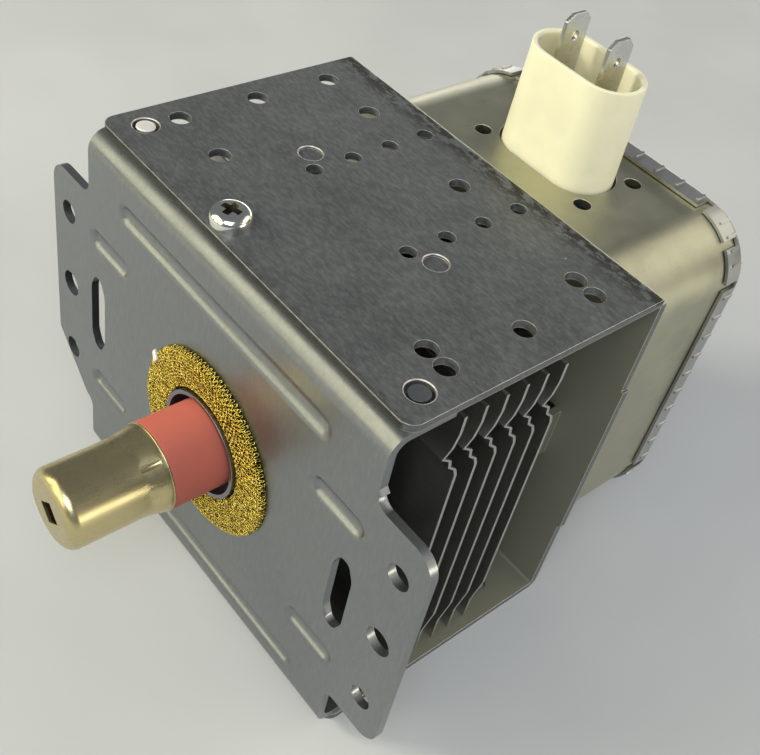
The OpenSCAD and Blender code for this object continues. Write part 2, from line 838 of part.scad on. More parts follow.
module rear_yoke() {
    tab_in = magnet_d / 2 + tab_clear;
    color("#8d9093")
        difference() {
            union() {
                across_x(yoke_w)
                    rear_section();
                translate([-yoke_w / 2 - back_step, back_in, -back_step_h / 2])
                    cube([yoke_w + 2 * back_step, sheet_t, back_step_h]);
                for (x = [0, 1])
                    mirror([x, 0, 0])
                        translate([tab_in, back_in - tab_l, -tab_h / 2])
                            cube([sheet_t, tab_l + sheet_t / 2, tab_h]);
            }
            for (s = [0, 1])
                mirror([0, 0, s])
                    plate_holes();
            for (x = [0, 1])
                mirror([x, 0, 0]) {
                    plate_corner();
                    translate([tab_in - tab_l, back_in - over, -tab_h / 2])
                        cube([tab_l, sheet_t + 2 * over, tab_h]);
                }
            along_y(back_in - over)
                cylinder(h = sheet_t + 2 * over, r = seal_r + magnet_clear);
            translate([-screw_left, yoke_setback + screw_front, plate_in - over])
                cylinder(h = sheet_t + 2 * over, d = screw_d + 2 * screw_clear);
        }
}

module yoke_screw() {
    edge_h = 0.55 * screw_head_h;
    dome_h = screw_head_h - edge_h;
    head_r = screw_head_d / 2;
    dome_r = (head_r * head_r + dome_h * dome_h) / (2 * dome_h);
    recess_w = screw_head_d / 6.5;
    recess_l = 0.62 * screw_head_d;
    recess_h = 0.55 * screw_head_h;
    color("#c9ccc8")
        translate([-screw_left, yoke_setback + screw_front, yoke_h / 2]) {
            difference() {
                intersection() {
                    cylinder(h = screw_head_h + over, d = screw_head_d);
                    translate([0, 0, screw_head_h - dome_r])
                        sphere(dome_r);
                    cylinder(h = 2 * screw_head_h, d = 2 * screw_head_d);
                }
                for (turn = [20, 110])
                    rotate(turn)
                        translate([-recess_l / 2, -recess_w / 2, screw_head_h - recess_h])
                            cube([recess_l, recess_w, screw_head_h]);
            }
            translate([0, 0, -screw_l])
                cylinder(h = screw_l + edge_h / 2, d = screw_d);
        }
}

module magnet(y) {
    color("#2b2b2d")
        ring_y(y, magnet_t, magnet_d / 2, seal_r + magnet_clear);
}

module front_magnet() {
    magnet(magnet1_y);
}

module rear_magnet() {
    magnet(magnet2_y);
}

module anode_cylinder() {
    color("#b87333")
        ring_y(anode_y, anode_l, anode_r, anode_in);
}

// One vane of the anode; odd vanes carry the inner straps and even ones the outer straps
module anode_vane(i) {
    seat_r = i % 2 == 1 ? strap_r : strap2_r;
    free_r = i % 2 == 1 ? strap2_r : strap_r;
    notch_in = strap_r - strap_gap;
    notch_w = 2 * strap_w + 3 * strap_gap;
    free_w = strap_w + 2 * strap_gap;
    color("#c07c46")
        rotate([0, -90 + (i - 1) * 360 / vane_count, 0])
            difference() {
                intersection() {
                    translate([0, vane_y, -vane_t / 2])
                        cube([anode_r, vane_h, vane_t]);
                    ring_y(vane_y - over, vane_h + 2 * over, anode_in - press_clear, vane_tip_r);
                }
                for (s = [0, 1])
                    translate([0, tube_mid, 0])
                        mirror([0, s, 0])
                            translate([0, vane_h / 2, 0]) {
                                translate([notch_in, -strap_t, -vane_t])
                                    cube([notch_w, strap_t + over, 2 * vane_t]);
                                translate([free_r - strap_gap, -strap_t - strap_gap, -vane_t])
                                    cube([free_w, strap_t + strap_gap + over, 2 * vane_t]);
                            }
            }
}

module strap(front, r) {
    color("#b08d57")
        ring_y(front ? vane_y : vane_end - strap_t, strap_t, r + strap_w, r);
}

// A funnel-shaped pole piece; the flange lies on the anode's end and the tip faces the vanes
module pole_piece() {
    tip = vane_y - pole_gap - pole1_y;
    rotate_extrude()
        polygon([[pole_flange_r - pole_t / 2, 0], [anode_r, 0], [anode_r, pole_t],
                 [pole_flange_r, pole_t], [pole_tip_r, tip], [pole_hole_r, tip],
                 [pole_hole_r, tip - pole_t], [pole_tip_r - pole_t / 2, tip - pole_t]]);
}

module front_pole_piece() {
    color("#8c8f92")
        difference() {
            along_y(pole1_y)
                pole_piece();
            translate([0, pole1_y - over, antenna_foot_r])
                rotate([-90, 0, 0])
                    cylinder(h = vane_y - pole1_y + over, d = antenna_lead_d + 1.2);
        }
}

module rear_pole_piece() {
    color("#8c8f92")
        translate([0, 2 * tube_mid, 0])
            mirror([0, 1, 0])
                along_y(pole1_y)
                    pole_piece();
}

// Helix of tungsten wire between the end hats
module filament() {
    y1 = hat1_y + hat_t + filament_wire / 2;
    y2 = hat2_y - filament_wire / 2;
    turns = 8;
    steps = turns * 12;
    path = [for (k = [0:steps])
        [filament_r * cos(360 * turns * k / steps), y1 + (y2 - y1) * k / steps,
         filament_r * sin(360 * turns * k / steps)]];
    color("#5b5d60")
        wire(path, filament_wire);
}

module front_end_hat() {
    color("#77797c")
        along_y(hat1_y)
            difference() {
                cylinder(h = hat_t, d = hat_d);
                translate([0, 0, hat_t / 2])
                    cylinder(h = hat_t, d = lead_d + 2 * press_clear);
            }
}

module rear_end_hat() {
    color("#77797c")
        ring_y(hat2_y, hat_t, hat_d / 2, lead_d / 2 + 0.3);
}

// Runs on the axis through the filament and steps aside in the seal cup
module centre_lead() {
    p1 = [0, hat1_y + hat_t / 2, 0];
    p2 = [0, pole2_y, 0];
    p3 = [-lead_x, magnet2_y + magnet_t / 4, 0];
    p4 = [-lead_x, stem_end + terminal_t, 0];
    color("#6b6d70")
        wire([p1, p2, p3, p4], lead_d);
}

module side_lead() {
    color("#6b6d70")
        translate([lead_x, 0, 0])
            along_y(hat2_y + hat_t)
                cylinder(h = stem_end + terminal_t - hat2_y - hat_t, d = lead_d);
}

module cathode_seal_cup() {
    color("silver")
        seal_cup(seal2_y, seal2_y, back_out + 2 * seal_t - seal2_y, stem_seat);
}

module stem_ceramic() {
    color("#ece7db")
        difference() {
            along_y(stem_y)
                cylinder(h = stem_l, d = stem_d);
            for (x = [-1, 1])
                translate([x * lead_x, stem_y - over, 0])
                    rotate([-90, 0, 0])
                        cylinder(h = stem_l + 2 * over, d = lead_d + 2 * press_clear);
        }
}

// Terminal plate on the stem's end, welded to a lead and to a choke coil
module stem_terminal(side) {
    color("#b9bcbe")
        difference() {
            translate([side > 0 ? terminal_in : -terminal_out, stem_end, -terminal_h / 2])
                cube([terminal_out - terminal_in, terminal_t, terminal_h]);
            translate([side * lead_x, stem_end - over, 0])
                rotate([-90, 0, 0])
                    cylinder(h = terminal_t + 2 * over, d = lead_d + 2 * press_clear);
        }
}

// Middle line of a fin's section, as pairs of Y from the main plane and Z, from the foot to the tip
fin_line = [[-fin_lip_back, fin_foot_z], [-fin_lip_back, fin_foot_z + fin_foot_h],
            [0, fin_foot_z + fin_foot_h + fin_foot_jog], [0, fin_main_z],
            [-0.3 * fin_lip_back, fin_main_z + 1.7], [-fin_lip_back, fin_main_z + 3.1],
            [-1.15 * fin_lip_back, fin_main_z + 4.8], [-fin_crease, fin_crease_z],
            [-1.35 * fin_lip_back, fin_lip_z], [-fin_lip_back, fin_lip_z + 0.45 * fin_lip_h],
            [-fin_lip_back, fin_tip_z]];

// A cooling fin with its collar round the anode
module cooling_fin(i) {
    y = anode_y + fin_first + (i - 1) * fin_pitch;
    n = len(fin_line);
    side = [fin_t / 2, 0];
    outline = concat([for (p = fin_line) p + side], [for (k = [n - 1:-1:0]) fin_line[k] - side]);
    hole_r = anode_r + press_clear;
    color("#a9abad")
        difference() {
            union() {
                translate([0, y, 0])
                    across_x(2 * fin_half)
                        polygon(outline);
                ring_y(y - collar_h, collar_h, hole_r + collar_t, hole_r);
            }
            along_y(y - fin_t)
                cylinder(h = 2 * fin_t, r = hole_r);
        }
}

module box_outline(grow) {
    translate([0, box_z])
        round_rect(box_w + 2 * grow, box_h + 2 * grow, box_r + grow);
}

// The four holes round the shroud
module flange_holes(z, depth) {
    for (x = [-1, 1], y = [-1, 1])
        translate([x * flange_hole_x / 2, shroud_y + y * flange_hole_y / 2, z])
            cylinder(h = depth, d = flange_hole_d);
}

// The oval way through the box and the flange plate
module shroud_way(z, depth) {
    translate([0, shroud_y, z])
        linear_extrude(depth)
            oval(shroud_l + 2 * shroud_clear, shroud_w + 2 * shroud_clear);
}

module filter_box() {
    color("#a39f8f")
        difference() {
            along_depth(back_out, box_d)
                box_outline(0);
            along_depth(back_out + box_t, box_d)
                box_outline(-box_t);
            along_y(back_out - over)
                cylinder(h = box_t + 2 * over, d = stem_hole_d);
            shroud_way(box_in_top - over, box_t + 2 * over);
            flange_holes(box_in_top - over, box_t + 2 * over);
        }
}

// Puts a shape that is drawn along +X at the given turn of one of the lid's corners
module at_corner(x, z, turn) {
    translate([x * (box_w / 2 - box_r), 0, box_z + z * (box_h / 2 - box_r)])
        mirror([x < 0 ? 1 : 0, 0, 0])
            rotate([0, -z * turn, 0])
                children();
}

// A rib across the skirt, sunk halfway into it
module skirt_rib(x, z, w, h) {
    translate([x - w / 2, rib_y, z - h / 2])
        cube([w, rib_l, h]);
}

module filter_lid() {
    cut = lid_grow + 2 * over + rib_h;
    half_w = box_w / 2 + lid_grow;
    half_h = box_h / 2 + lid_grow;
    count_x = floor((box_w / 2 - box_r) / rib_pitch + 0.5);
    count_z = floor((box_h / 2 - box_r) / rib_pitch + 0.5);
    color("#a8a492")
        difference() {
            union() {
                along_depth(skirt_y, skirt_l)
                    box_outline(lid_grow);
                for (s = [-1, 1], side = [-1, 1]) {
                    for (k = [0:count_x - 1])
                        skirt_rib(s * (k + 0.5) * rib_pitch, box_z + side * half_h, rib_w, 2 * rib_h);
                    for (k = [0:count_z - 1])
                        skirt_rib(side * half_w, box_z + s * (k + 0.5) * rib_pitch, 2 * rib_h, rib_w);
                    for (turn = corner_ribs)
                        at_corner(s, side, turn)
                            skirt_rib(box_r + lid_grow, 0, 2 * rib_h, rib_w);
                }
            }
            along_depth(skirt_y - over, skirt_l - box_t + over)
                box_outline(lid_clear);
            for (x = [-1, 1], z = [-1, 1], turn = corner_gaps)
                at_corner(x, z, turn)
                    translate([box_r - over, skirt_y - over, -corner_gap / 2])
                        cube([cut, skirt_l - gap_from_back + over, corner_gap]);
        }
}

// A tapering oval from the given height to the rim, thinner by inset on each side
module shroud(z, inset) {
    half = (shroud_l - shroud_w) / 2;
    slope = shroud_draft / shroud_h;
    rim_r = shroud_w / 2 - shroud_draft - inset;
    foot_r = rim_r + slope * (shroud_rim - z);
    h = shroud_rim - z;
    translate([0, shroud_y, z]) {
        across_x(2 * half)
            polygon([[-foot_r, 0], [foot_r, 0], [rim_r, h], [-rim_r, h]]);
        for (x = [-1, 1])
            translate([x * half, 0, 0])
                cylinder(h = h, r1 = foot_r, r2 = rim_r);
    }
}

module capacitor_housing() {
    color("#f1eccb")
        difference() {
            shroud(flange_z, 0);
            translate([0, 0, over])
                shroud(shroud_floor_z - over, shroud_wall);
            for (x = [-1, 1])
                translate([x * blade_x, shroud_y, flange_z - over])
                    cylinder(h = shroud_floor_z - flange_z + 2 * over, d = conductor_d + 2 * press_clear);
        }
}

module capacitor_flange() {
    color("#b4b6b8")
        difference() {
            translate([0, shroud_y, flange_z])
                linear_extrude(flange_t)
                    round_rect(flange_w, flange_b, 3);
            shroud_way(flange_z - over, flange_t + 2 * over);
            flange_holes(flange_z - over, flange_t + 2 * over);
        }
}

module capacitor_body() {
    color("#4c6a8a")
        difference() {
            translate([0, shroud_y, body_z])
                linear_extrude(body_h)
                    oval(shroud_l + 3, shroud_w + 3);
            for (x = [-1, 1])
                translate([x * blade_x, shroud_y, body_z - over])
                    cylinder(h = body_h + 2 * over, d = conductor_d + 2 * press_clear);
        }
}

// A push-on blade with the conductor below it
module terminal_blade(side) {
    h = blade_top - shroud_floor_z;
    half = blade_w / 2;
    chamfer = blade_w / 4;
    color("#c7c8c2")
        translate([side * blade_x, shroud_y, shroud_floor_z]) {
            difference() {
                across_x(blade_t)
                    polygon([[-half, 0], [half, 0], [half, h - chamfer], [half - chamfer, h],
                             [chamfer - half, h], [-half, h - 0.8 * chamfer]]);
                translate([-blade_t, 0, h - detent_low])
                    rotate([0, 90, 0])
                        cylinder(h = 2 * blade_t, d = detent_d);
            }
            translate([0, 0, conductor_end - shroud_floor_z])
                cylinder(h = shroud_floor_z - conductor_end, d = conductor_d);
        }
}

// A choke winding: down from the conductor, round its core, and forward to the stem's terminal
module choke_coil(side) {
    axis = [side * coil_x, shroud_y];
    steps = choke_turns * turn_steps;
    turns = [for (k = [0:steps])
        let (turn = 180 + 360 * choke_turns * k / steps)
        [axis[0] + side * coil_r * cos(turn), axis[1] + coil_r * sin(turn), coil_top - coil_h * k / steps]];
    head = [side * blade_x, shroud_y, conductor_end];
    foot = [side * blade_x, stem_end + terminal_t, 0];
    color("#b5652f")
        wire(concat([head], turns, [[foot[0], shroud_y, 0], [foot[0], shroud_y - wire_d, 0], foot]), wire_d);
}

module choke_core(side) {
    color("#3b3a3c")
        translate([side * coil_x, shroud_y, coil_foot - wire_d])
            cylinder(h = coil_h + 2 * wire_d, d = core_d);
}

antenna_cap();
output_top_seal();
exhaust_tube();
antenna_lead();
output_ceramic();
output_seal_cup();
rf_gasket();
front_yoke();
rear_yoke();
yoke_screw();
front_magnet();
rear_magnet();
anode_cylinder();
for (i = [1:vane_count])
    anode_vane(i);
strap(true, strap_r);  // front_inner_strap
strap(true, strap2_r);  // front_outer_strap
strap(false, strap_r);  // rear_inner_strap
strap(false, strap2_r);  // rear_outer_strap
front_pole_piece();
rear_pole_piece();
filament();
front_end_hat();
rear_end_hat();
centre_lead();
side_lead();
cathode_seal_cup();
stem_ceramic();
stem_terminal(-1);  // stem_terminal_left
stem_terminal(1);  // stem_terminal_right
for (i = [1:fin_count])
    cooling_fin(i);
filter_box();
filter_lid();
capacitor_housing();
capacitor_flange();
capacitor_body();
terminal_blade(-1);  // terminal_blade_left
terminal_blade(1);  // terminal_blade_right
choke_coil(-1);  // choke_coil_left
choke_coil(1);  // choke_coil_right
choke_core(-1);  // choke_core_left
choke_core(1);  // choke_core_right
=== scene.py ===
# %% [markdown]
# # A magnetron in Blender
# A magnetron is the vacuum tube that makes the microwaves in an oven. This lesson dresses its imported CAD
# model: the solids already have their true places, so each step only gives a piece the edges, small parts
# and finish of the real one. The model is loaded first, and its box is kept, because the looks may not
# outgrow it.

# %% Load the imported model
import math
import random

import bmesh
import bpy
from mathutils import Matrix, Vector


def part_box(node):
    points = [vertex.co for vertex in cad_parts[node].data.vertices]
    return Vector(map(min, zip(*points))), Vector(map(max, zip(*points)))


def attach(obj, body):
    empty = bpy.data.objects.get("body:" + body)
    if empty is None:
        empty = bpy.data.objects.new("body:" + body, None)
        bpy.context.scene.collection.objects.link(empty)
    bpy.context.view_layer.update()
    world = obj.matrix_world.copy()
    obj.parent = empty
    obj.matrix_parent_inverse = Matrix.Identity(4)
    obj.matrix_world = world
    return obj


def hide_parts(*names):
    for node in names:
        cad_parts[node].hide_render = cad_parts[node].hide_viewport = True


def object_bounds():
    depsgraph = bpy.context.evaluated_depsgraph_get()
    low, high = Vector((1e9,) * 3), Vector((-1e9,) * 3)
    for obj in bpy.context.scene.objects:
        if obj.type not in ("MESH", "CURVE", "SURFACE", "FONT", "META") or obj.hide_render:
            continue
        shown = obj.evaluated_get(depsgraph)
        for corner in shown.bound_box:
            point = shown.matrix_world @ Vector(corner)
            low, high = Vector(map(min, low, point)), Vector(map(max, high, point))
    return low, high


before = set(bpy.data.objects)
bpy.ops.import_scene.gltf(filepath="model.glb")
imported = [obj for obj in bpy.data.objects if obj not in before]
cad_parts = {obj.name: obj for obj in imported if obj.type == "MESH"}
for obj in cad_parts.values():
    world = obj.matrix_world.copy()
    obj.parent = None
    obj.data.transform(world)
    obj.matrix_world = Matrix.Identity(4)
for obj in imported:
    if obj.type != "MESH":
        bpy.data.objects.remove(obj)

MM = 0.001
cad_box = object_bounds()
print("CAD nodes:", len(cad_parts))
print("CAD box in mm:", [round(v / MM, 1) for corner in cad_box for v in corner])

# %% [markdown]
# ## The camera
# The camera looks at the part from close by, above its right front corner. It could be aimed at an empty
# by a constraint. But its place and its three axes were worked out from the corners of the yoke, so they
# are simply given as numbers, and a matrix takes them as they are.

# %% The camera
CAMERA_PLACE = Vector((98.996, -74.539, 141.182)) * MM
CAMERA_RIGHT = Vector((0.62809, 0.75889, 0.17200))
CAMERA_DOWN = Vector((0.62024, -0.35477, -0.69961))
CAMERA_AHEAD = Vector((-0.46991, 0.54610, -0.69352))
FOCAL, SENSOR_W = 50.94, 36.0

lens = bpy.data.cameras.new("photo_camera")
lens.lens, lens.sensor_width, lens.sensor_fit = FOCAL, SENSOR_W, "HORIZONTAL"
lens.clip_start, lens.clip_end = 0.01, 20.0
camera = bpy.data.objects.new("photo_camera", lens)
bpy.context.scene.collection.objects.link(camera)
axes = Matrix((CAMERA_RIGHT, -CAMERA_DOWN, -CAMERA_AHEAD)).transposed().to_4x4()
camera.matrix_world = Matrix.Translation(CAMERA_PLACE) @ axes
bpy.context.scene.camera = camera
print("camera at", [round(v / MM) for v in CAMERA_PLACE], "mm")

# %% [markdown]
# ## A shader language
# A finish is a small sum: so much colour, less where a mask is, plus a little noise. Blender draws sums
# as nodes, and laying them out by hand is slow to read and to change. So the class `Signal` wraps a
# socket and gives it Python's operators: `1 - mask` adds the nodes by itself. The class `Finish` holds
# one material, and its method `node` makes every other kind of node.

# %% Sockets that take sums
class Signal:
    """One shader socket; sums on it add Math nodes."""

    def __init__(self, finish, socket):
        self.finish, self.socket = finish, socket

    def maths(self, operation, first, second):
        return self.finish.node("ShaderNodeMath", {"operation": operation}, {0: first, 1: second})

    def __add__(self, other):
        return self.maths("ADD", self, other)

    def __radd__(self, other):
        return self.maths("ADD", other, self)

    def __sub__(self, other):
        return self.maths("SUBTRACT", self, other)

    def __rsub__(self, other):
        return self.maths("SUBTRACT", other, self)

    def __mul__(self, other):
        return self.maths("MULTIPLY", self, other)

    def __rmul__(self, other):
        return self.maths("MULTIPLY", other, self)


print("a Signal takes +, - and *, from either side")

# %% [markdown]
# ## Materials made of nodes
# Every finish below needs the same few things: clouds of a given size, lone specks, a mask drawn out of a
# noise, a colour between two others, and a shader to end in. They could be wired anew for each material.
# As methods they are written once, and they take their sizes in mm. All patterns lie on Object
# coordinates, which are the part's own, so a pattern keeps its true size and stays on its piece.

# %% Materials made of nodes
class Finish:
    """A material that is being made; every node comes from `node`."""

    def __init__(self, name):
        self.material = bpy.data.materials.new(name)
        self.material.use_nodes = True
        self.tree = self.material.node_tree
        self.tree.nodes.clear()

    def node(self, kind, settings=None, sockets=None, output=0):
        made = self.tree.nodes.new(kind)
        for key, value in (settings or {}).items():
            setattr(made, key, value)
        for key, value in (sockets or {}).items():
            if isinstance(value, Signal):
                self.tree.links.new(value.socket, made.inputs[key])
            else:
                made.inputs[key].default_value = value
        return Signal(self, made.outputs[output]) if made.outputs else None

    def mix(self, share, first, second):
        """A colour between two others; the share may be a Signal."""
        return self.node("ShaderNodeMix", {"data_type": "RGBA"}, {0: share, 6: first, 7: second}, output=2)

    def noise(self, grain, detail=3.0, rough=0.55, stretch=(1, 1, 1), shift=0.0):
        """Clouds about `grain` mm wide, drawn out along the axes by `stretch`."""
        spot = self.node("ShaderNodeTexCoord", output="Object")
        scale = [1 / (grain * MM * s) for s in stretch]
        spot = self.node("ShaderNodeMapping", None,
                         {"Vector": spot, "Location": (shift,) * 3, "Scale": scale})
        return self.node("ShaderNodeTexNoise", None,
                         {"Vector": spot, "Scale": 1.0, "Detail": detail, "Roughness": rough})

    def specks(self, spacing, size):
        """Lone dots, `size` mm wide and about `spacing` mm apart."""
        spot = self.node("ShaderNodeTexCoord", output="Object")
        spot = self.node("ShaderNodeMapping", None, {"Vector": spot, "Scale": (1 / (spacing * MM),) * 3})
        away = self.node("ShaderNodeTexVoronoi", None, {"Vector": spot, "Scale": 1.0})
        return self.spread(away, 0.3 * size / spacing, 0.6 * size / spacing, 1.0, 0.0)

    def spread(self, signal, low, high, start=0.0, end=1.0):
        """Draws the part of a signal between low and high out over start to end."""
        sockets = {"Value": signal, "From Min": low, "From Max": high, "To Min": start, "To Max": end}
        return self.node("ShaderNodeMapRange", {"interpolation_type": "SMOOTHSTEP"}, sockets)

    def place(self, axis):
        """Where a point lies along X, Y or Z, in mm."""
        spot = self.node("ShaderNodeTexCoord", output="Object")
        return self.node("ShaderNodeSeparateXYZ", None, {0: spot}, output=axis) * (1 / MM)

    def done(self, sockets, height=None, depth=0.02):
        """Closes the material: a Principled shader, with bumps `depth` mm deep where a height is given."""
        sockets = dict(sockets)
        if height is not None:
            sockets["Normal"] = self.node("ShaderNodeBump", None,
                                          {"Height": height, "Strength": 1.0, "Distance": depth * MM})
        surface = self.node("ShaderNodeBsdfPrincipled", None, sockets)
        self.node("ShaderNodeOutputMaterial", None, {"Surface": surface})
        print("finish", self.material.name, "has", len(self.tree.nodes), "nodes")
        return self.material


def grey(level, warm=0.0):
    """A metal's grey; a little warm above zero, a little blue below it."""
    return (level * (1 + warm), level, level * (1 - warm), 1.0)


def khaki(level):
    """The yellowish grey of tin plate and of dried oil."""
    return (level * 1.02, level, level * 0.77, 1.0)


# %% [markdown]
# ## Dirt and painted light on the rear yoke
# Dirt has gathered along the folds of the rear yoke. Its front cut edges are painted almost black, as
# painted shade for the seam where the top plate lies over the mounting plate. Its inner faces are painted
# a lighter olive for the light that reaches them, and its rear fold gets a painted highlight. Such marks
# could be painted on an image. But each lies at a known place on the sheet, so masks are worked out from
# where a point lies, and a noise frays the dirt.

# %% Wear on the rear yoke
yoke_low, yoke_high = (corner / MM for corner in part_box("rear_yoke"))
print("rear yoke in mm:", [round(v, 2) for corner in (yoke_low, yoke_high) for v in corner])


def yoke_places(f):
    """Where the rear yoke is dirty, with the painted shade of its front seam; where its inner faces are,
    which are painted a lighter olive for the light that reaches them; and where its rear fold gets a
    painted highlight."""
    along, up = f.place("Y"), f.place("Z")
    top = f.spread(up, yoke_high.z - 1.0, yoke_high.z - 0.4)
    smears = f.spread(f.noise(2.2, detail=6, rough=0.75, stretch=(1.6, 0.8, 1)), 0.44, 0.54)
    # painted highlight: the rear fold is made bright where it would catch the light
    painted_fold_highlight = f.spread(along, yoke_high.y - 1.6, yoke_high.y - 1.2)
    painted_fold_highlight = f.spread(up, yoke_high.z - 1.4, yoke_high.z - 1.1) * painted_fold_highlight
    rear = f.spread(along, yoke_high.y - 8.3, yoke_high.y - 2.3) * smears * (1 - painted_fold_highlight)
    front = 1 - f.spread(along, yoke_low.y + 0.45, yoke_low.y + 1.65)
    front = front * f.spread(f.noise(2.5, detail=4), 0.42, 0.6)
    # painted shade: the front cut edges go almost black for the seam where the top plate lies over the
    # mounting plate
    painted_seam_shade = 1 - f.spread(along, yoke_low.y + 0.05, yoke_low.y + 0.35)
    painted_seam_shade = painted_seam_shade * (1 - f.spread(up, yoke_high.z - 0.4, yoke_high.z - 0.2))
    dirt_and_seam_shade = f.node("ShaderNodeClamp", None, {"Value": top * (0.95 * rear + 0.3 * front) + 0.8 * painted_seam_shade})
    away = f.node("ShaderNodeMath", {"operation": "ABSOLUTE"}, {0: up})
    # the inner faces, which are painted a lighter olive for the light that reaches them
    inside = 1 - f.spread(along, yoke_high.y - 1.45, yoke_high.y - 1.2)
    inside = inside * (1 - f.spread(away, yoke_high.z - 1.45, yoke_high.z - 1.2))
    return dirt_and_seam_shade, inside, 0.85 * painted_fold_highlight


# %% [markdown]
# ## Zinc-plated sheet
# Both yokes are cold-rolled steel with a thin zinc coat: a metal with a dull skin and little colour of
# its own. A plain grey metal would look like chrome. What the eye reads as zinc is roughness that changes
# from place to place, fine streaks from rolling, a mottled grain, specks of dust, and sheet that isn't
# quite flat. So noises of several sizes feed colour and roughness, and three of them feed a bump. Sheared
# edges and punched rims are bare and bright, so they get a finish of their own.

# %% Zinc-plated sheet
def zinc_sheet(name, level, rough, streak, contrast, metallic, warm=-0.02, folded=False):
    f = Finish(name)
    clouds = f.spread(f.noise(9, detail=4), 0.3, 0.7)
    streaks = f.noise(0.6, detail=5, rough=0.7, stretch=streak)
    grain = f.noise(0.35, detail=2)
    waves = f.noise(14, detail=1, shift=4.0)
    mottle = f.spread(f.noise(0.6, detail=5, rough=0.7, stretch=streak, shift=7.0), 0.35, 0.7)
    colour = f.mix(0.75 * mottle + 0.25 * clouds, grey(level * (1 - contrast), warm),
                   grey(level * (1 + contrast / 2), warm))
    colour = f.mix(f.spread(streaks, 0.4, 0.75, 0, contrast), colour, grey(level * 0.6, warm))
    colour = f.mix(0.6 * f.specks(7, 0.35), colour, grey(0.7, 0.03))
    roughness = rough + 0.12 * (streaks - 0.5) + 0.08 * (clouds - 0.5) + 0.06 * (grain - 0.5)
    if folded:
        dirt_and_seam_shade, inside, painted_fold_highlight = yoke_places(f)
        # dirt and the painted seam shade go dark, and the inner faces are painted a lighter olive as
        # painted light
        colour = f.mix(dirt_and_seam_shade, f.mix(inside, colour, khaki(0.27)), khaki(0.025))
        # painted highlight on the rear fold
        colour = f.mix(painted_fold_highlight, colour, khaki(0.62))
        roughness = roughness + 0.2 * dirt_and_seam_shade
    return f.done({"Base Color": colour, "Metallic": metallic, "Roughness": roughness},
                  height=0.6 * grain + 0.4 * streaks + 8 * waves, depth=0.012)


plate_zinc = zinc_sheet("zinc_mounting_plate", 0.27, 0.33, (1, 1, 5), 0.10, metallic=0.92, warm=-0.04)
yoke_zinc = zinc_sheet("zinc_yoke", 0.155, 0.42, (2.5, 1, 1), 0.42, metallic=0.4, warm=-0.05, folded=True)
edge_zinc = zinc_sheet("zinc_edges", 0.80, 0.38, (1, 1, 1), 0.25, metallic=0.85, warm=0.06)

# %% [markdown]
# ## Tin plate
# The filter box is drawn from thin tin plate, which is warmer and shinier than zinc. Drawing leaves a
# soft grain along the sheet, and handling leaves stains and scuffs. One function makes three finishes of
# it, because they differ only in tone and wear: the box is stained, the lid is cleaner and greyer, and
# the blades are clean.

# %% Tin plate
def tin_plate(name, tone, level, rough, depth, worn):
    f = Finish(name)
    clouds = f.spread(f.noise(7, detail=3, shift=3.0), 0.3, 0.7)
    draw = f.noise(0.5, detail=4, rough=0.65, stretch=(1, 14, 1))
    grain = f.noise(0.3, detail=2)
    colour = f.mix(clouds, tone(level * 0.95), tone(level * 1.03))
    roughness = rough + 0.12 * (draw - 0.5) + 0.05 * (clouds - 0.5)
    if worn:
        stains = f.spread(f.noise(16, detail=5, rough=0.6, shift=9.0), 0.45, 0.7)
        scuffs = f.spread(f.noise(1.4, detail=6, rough=0.75, stretch=(1, 3, 1), shift=1.0), 0.58, 0.72)
        colour = f.mix(worn * stains + 0.6 * worn * scuffs, colour, khaki(level * 0.6))
        roughness = roughness + 0.3 * worn * scuffs
    return f.done({"Base Color": colour, "Metallic": 1.0, "Roughness": roughness},
                  height=0.5 * draw + 0.5 * grain, depth=depth)


box_tin = tin_plate("tin_filter_box", khaki, 0.45, 0.40, depth=0.010, worn=0.4)
lid_tin = tin_plate("tin_lid", grey, 0.46, 0.36, depth=0.008, worn=0.2)
blade_tin = tin_plate("tin_blades", grey, 0.66, 0.28, depth=0.001, worn=0.0)

# %% [markdown]
# ## Aluminium, drawn cap and bright screws
# The fins are mill-finish aluminium, streaked along the rolling direction, with bright sheared edges. The
# cap is drawn from nickel-iron, which keeps a champagne tint and fine lengthwise lines. The screw is
# bright zinc. An anisotropic shader could stretch their highlights, but lines that are really there look
# right from every side: a noise drawn out along one axis changes the colour and roughness and feeds a
# very shallow bump.

# %% Aluminium, cap and screw
def rolled_metal(name, colour, rough, streak, contrast=0.25, depth=0.006):
    f = Finish(name)
    lines = f.noise(0.3, detail=5, rough=0.7, stretch=streak)
    clouds = f.spread(f.noise(5, detail=3, shift=2.0), 0.3, 0.7)
    grain = f.noise(0.25, detail=2)
    dark = tuple(c * 0.7 for c in colour[:3]) + (1.0,)
    shade = f.mix(f.spread(lines, 0.35, 0.75, 0, contrast), colour, dark)
    shade = f.mix(contrast * clouds, shade, dark)
    roughness = rough + 0.14 * (lines - 0.5) + 0.06 * (clouds - 0.5)
    return f.done({"Base Color": shade, "Metallic": 1.0, "Roughness": roughness},
                  height=0.6 * lines + 0.4 * grain, depth=depth)


fin_aluminium = rolled_metal("rolled_aluminium", (0.56, 0.56, 0.53, 1.0), 0.34, (20, 1, 1), contrast=0.5)
cut_aluminium = rolled_metal("cut_aluminium", (0.86, 0.86, 0.80, 1.0), 0.30, (1, 1, 8), contrast=0.5)
cap_nickel = rolled_metal("drawn_cap", (0.63, 0.535, 0.295, 1.0), 0.29, (1, 18, 1), contrast=0.08,
                          depth=0.002)
screw_zinc = rolled_metal("bright_screw", (0.80, 0.80, 0.74, 1.0), 0.17, (1, 1, 1), contrast=0.15)
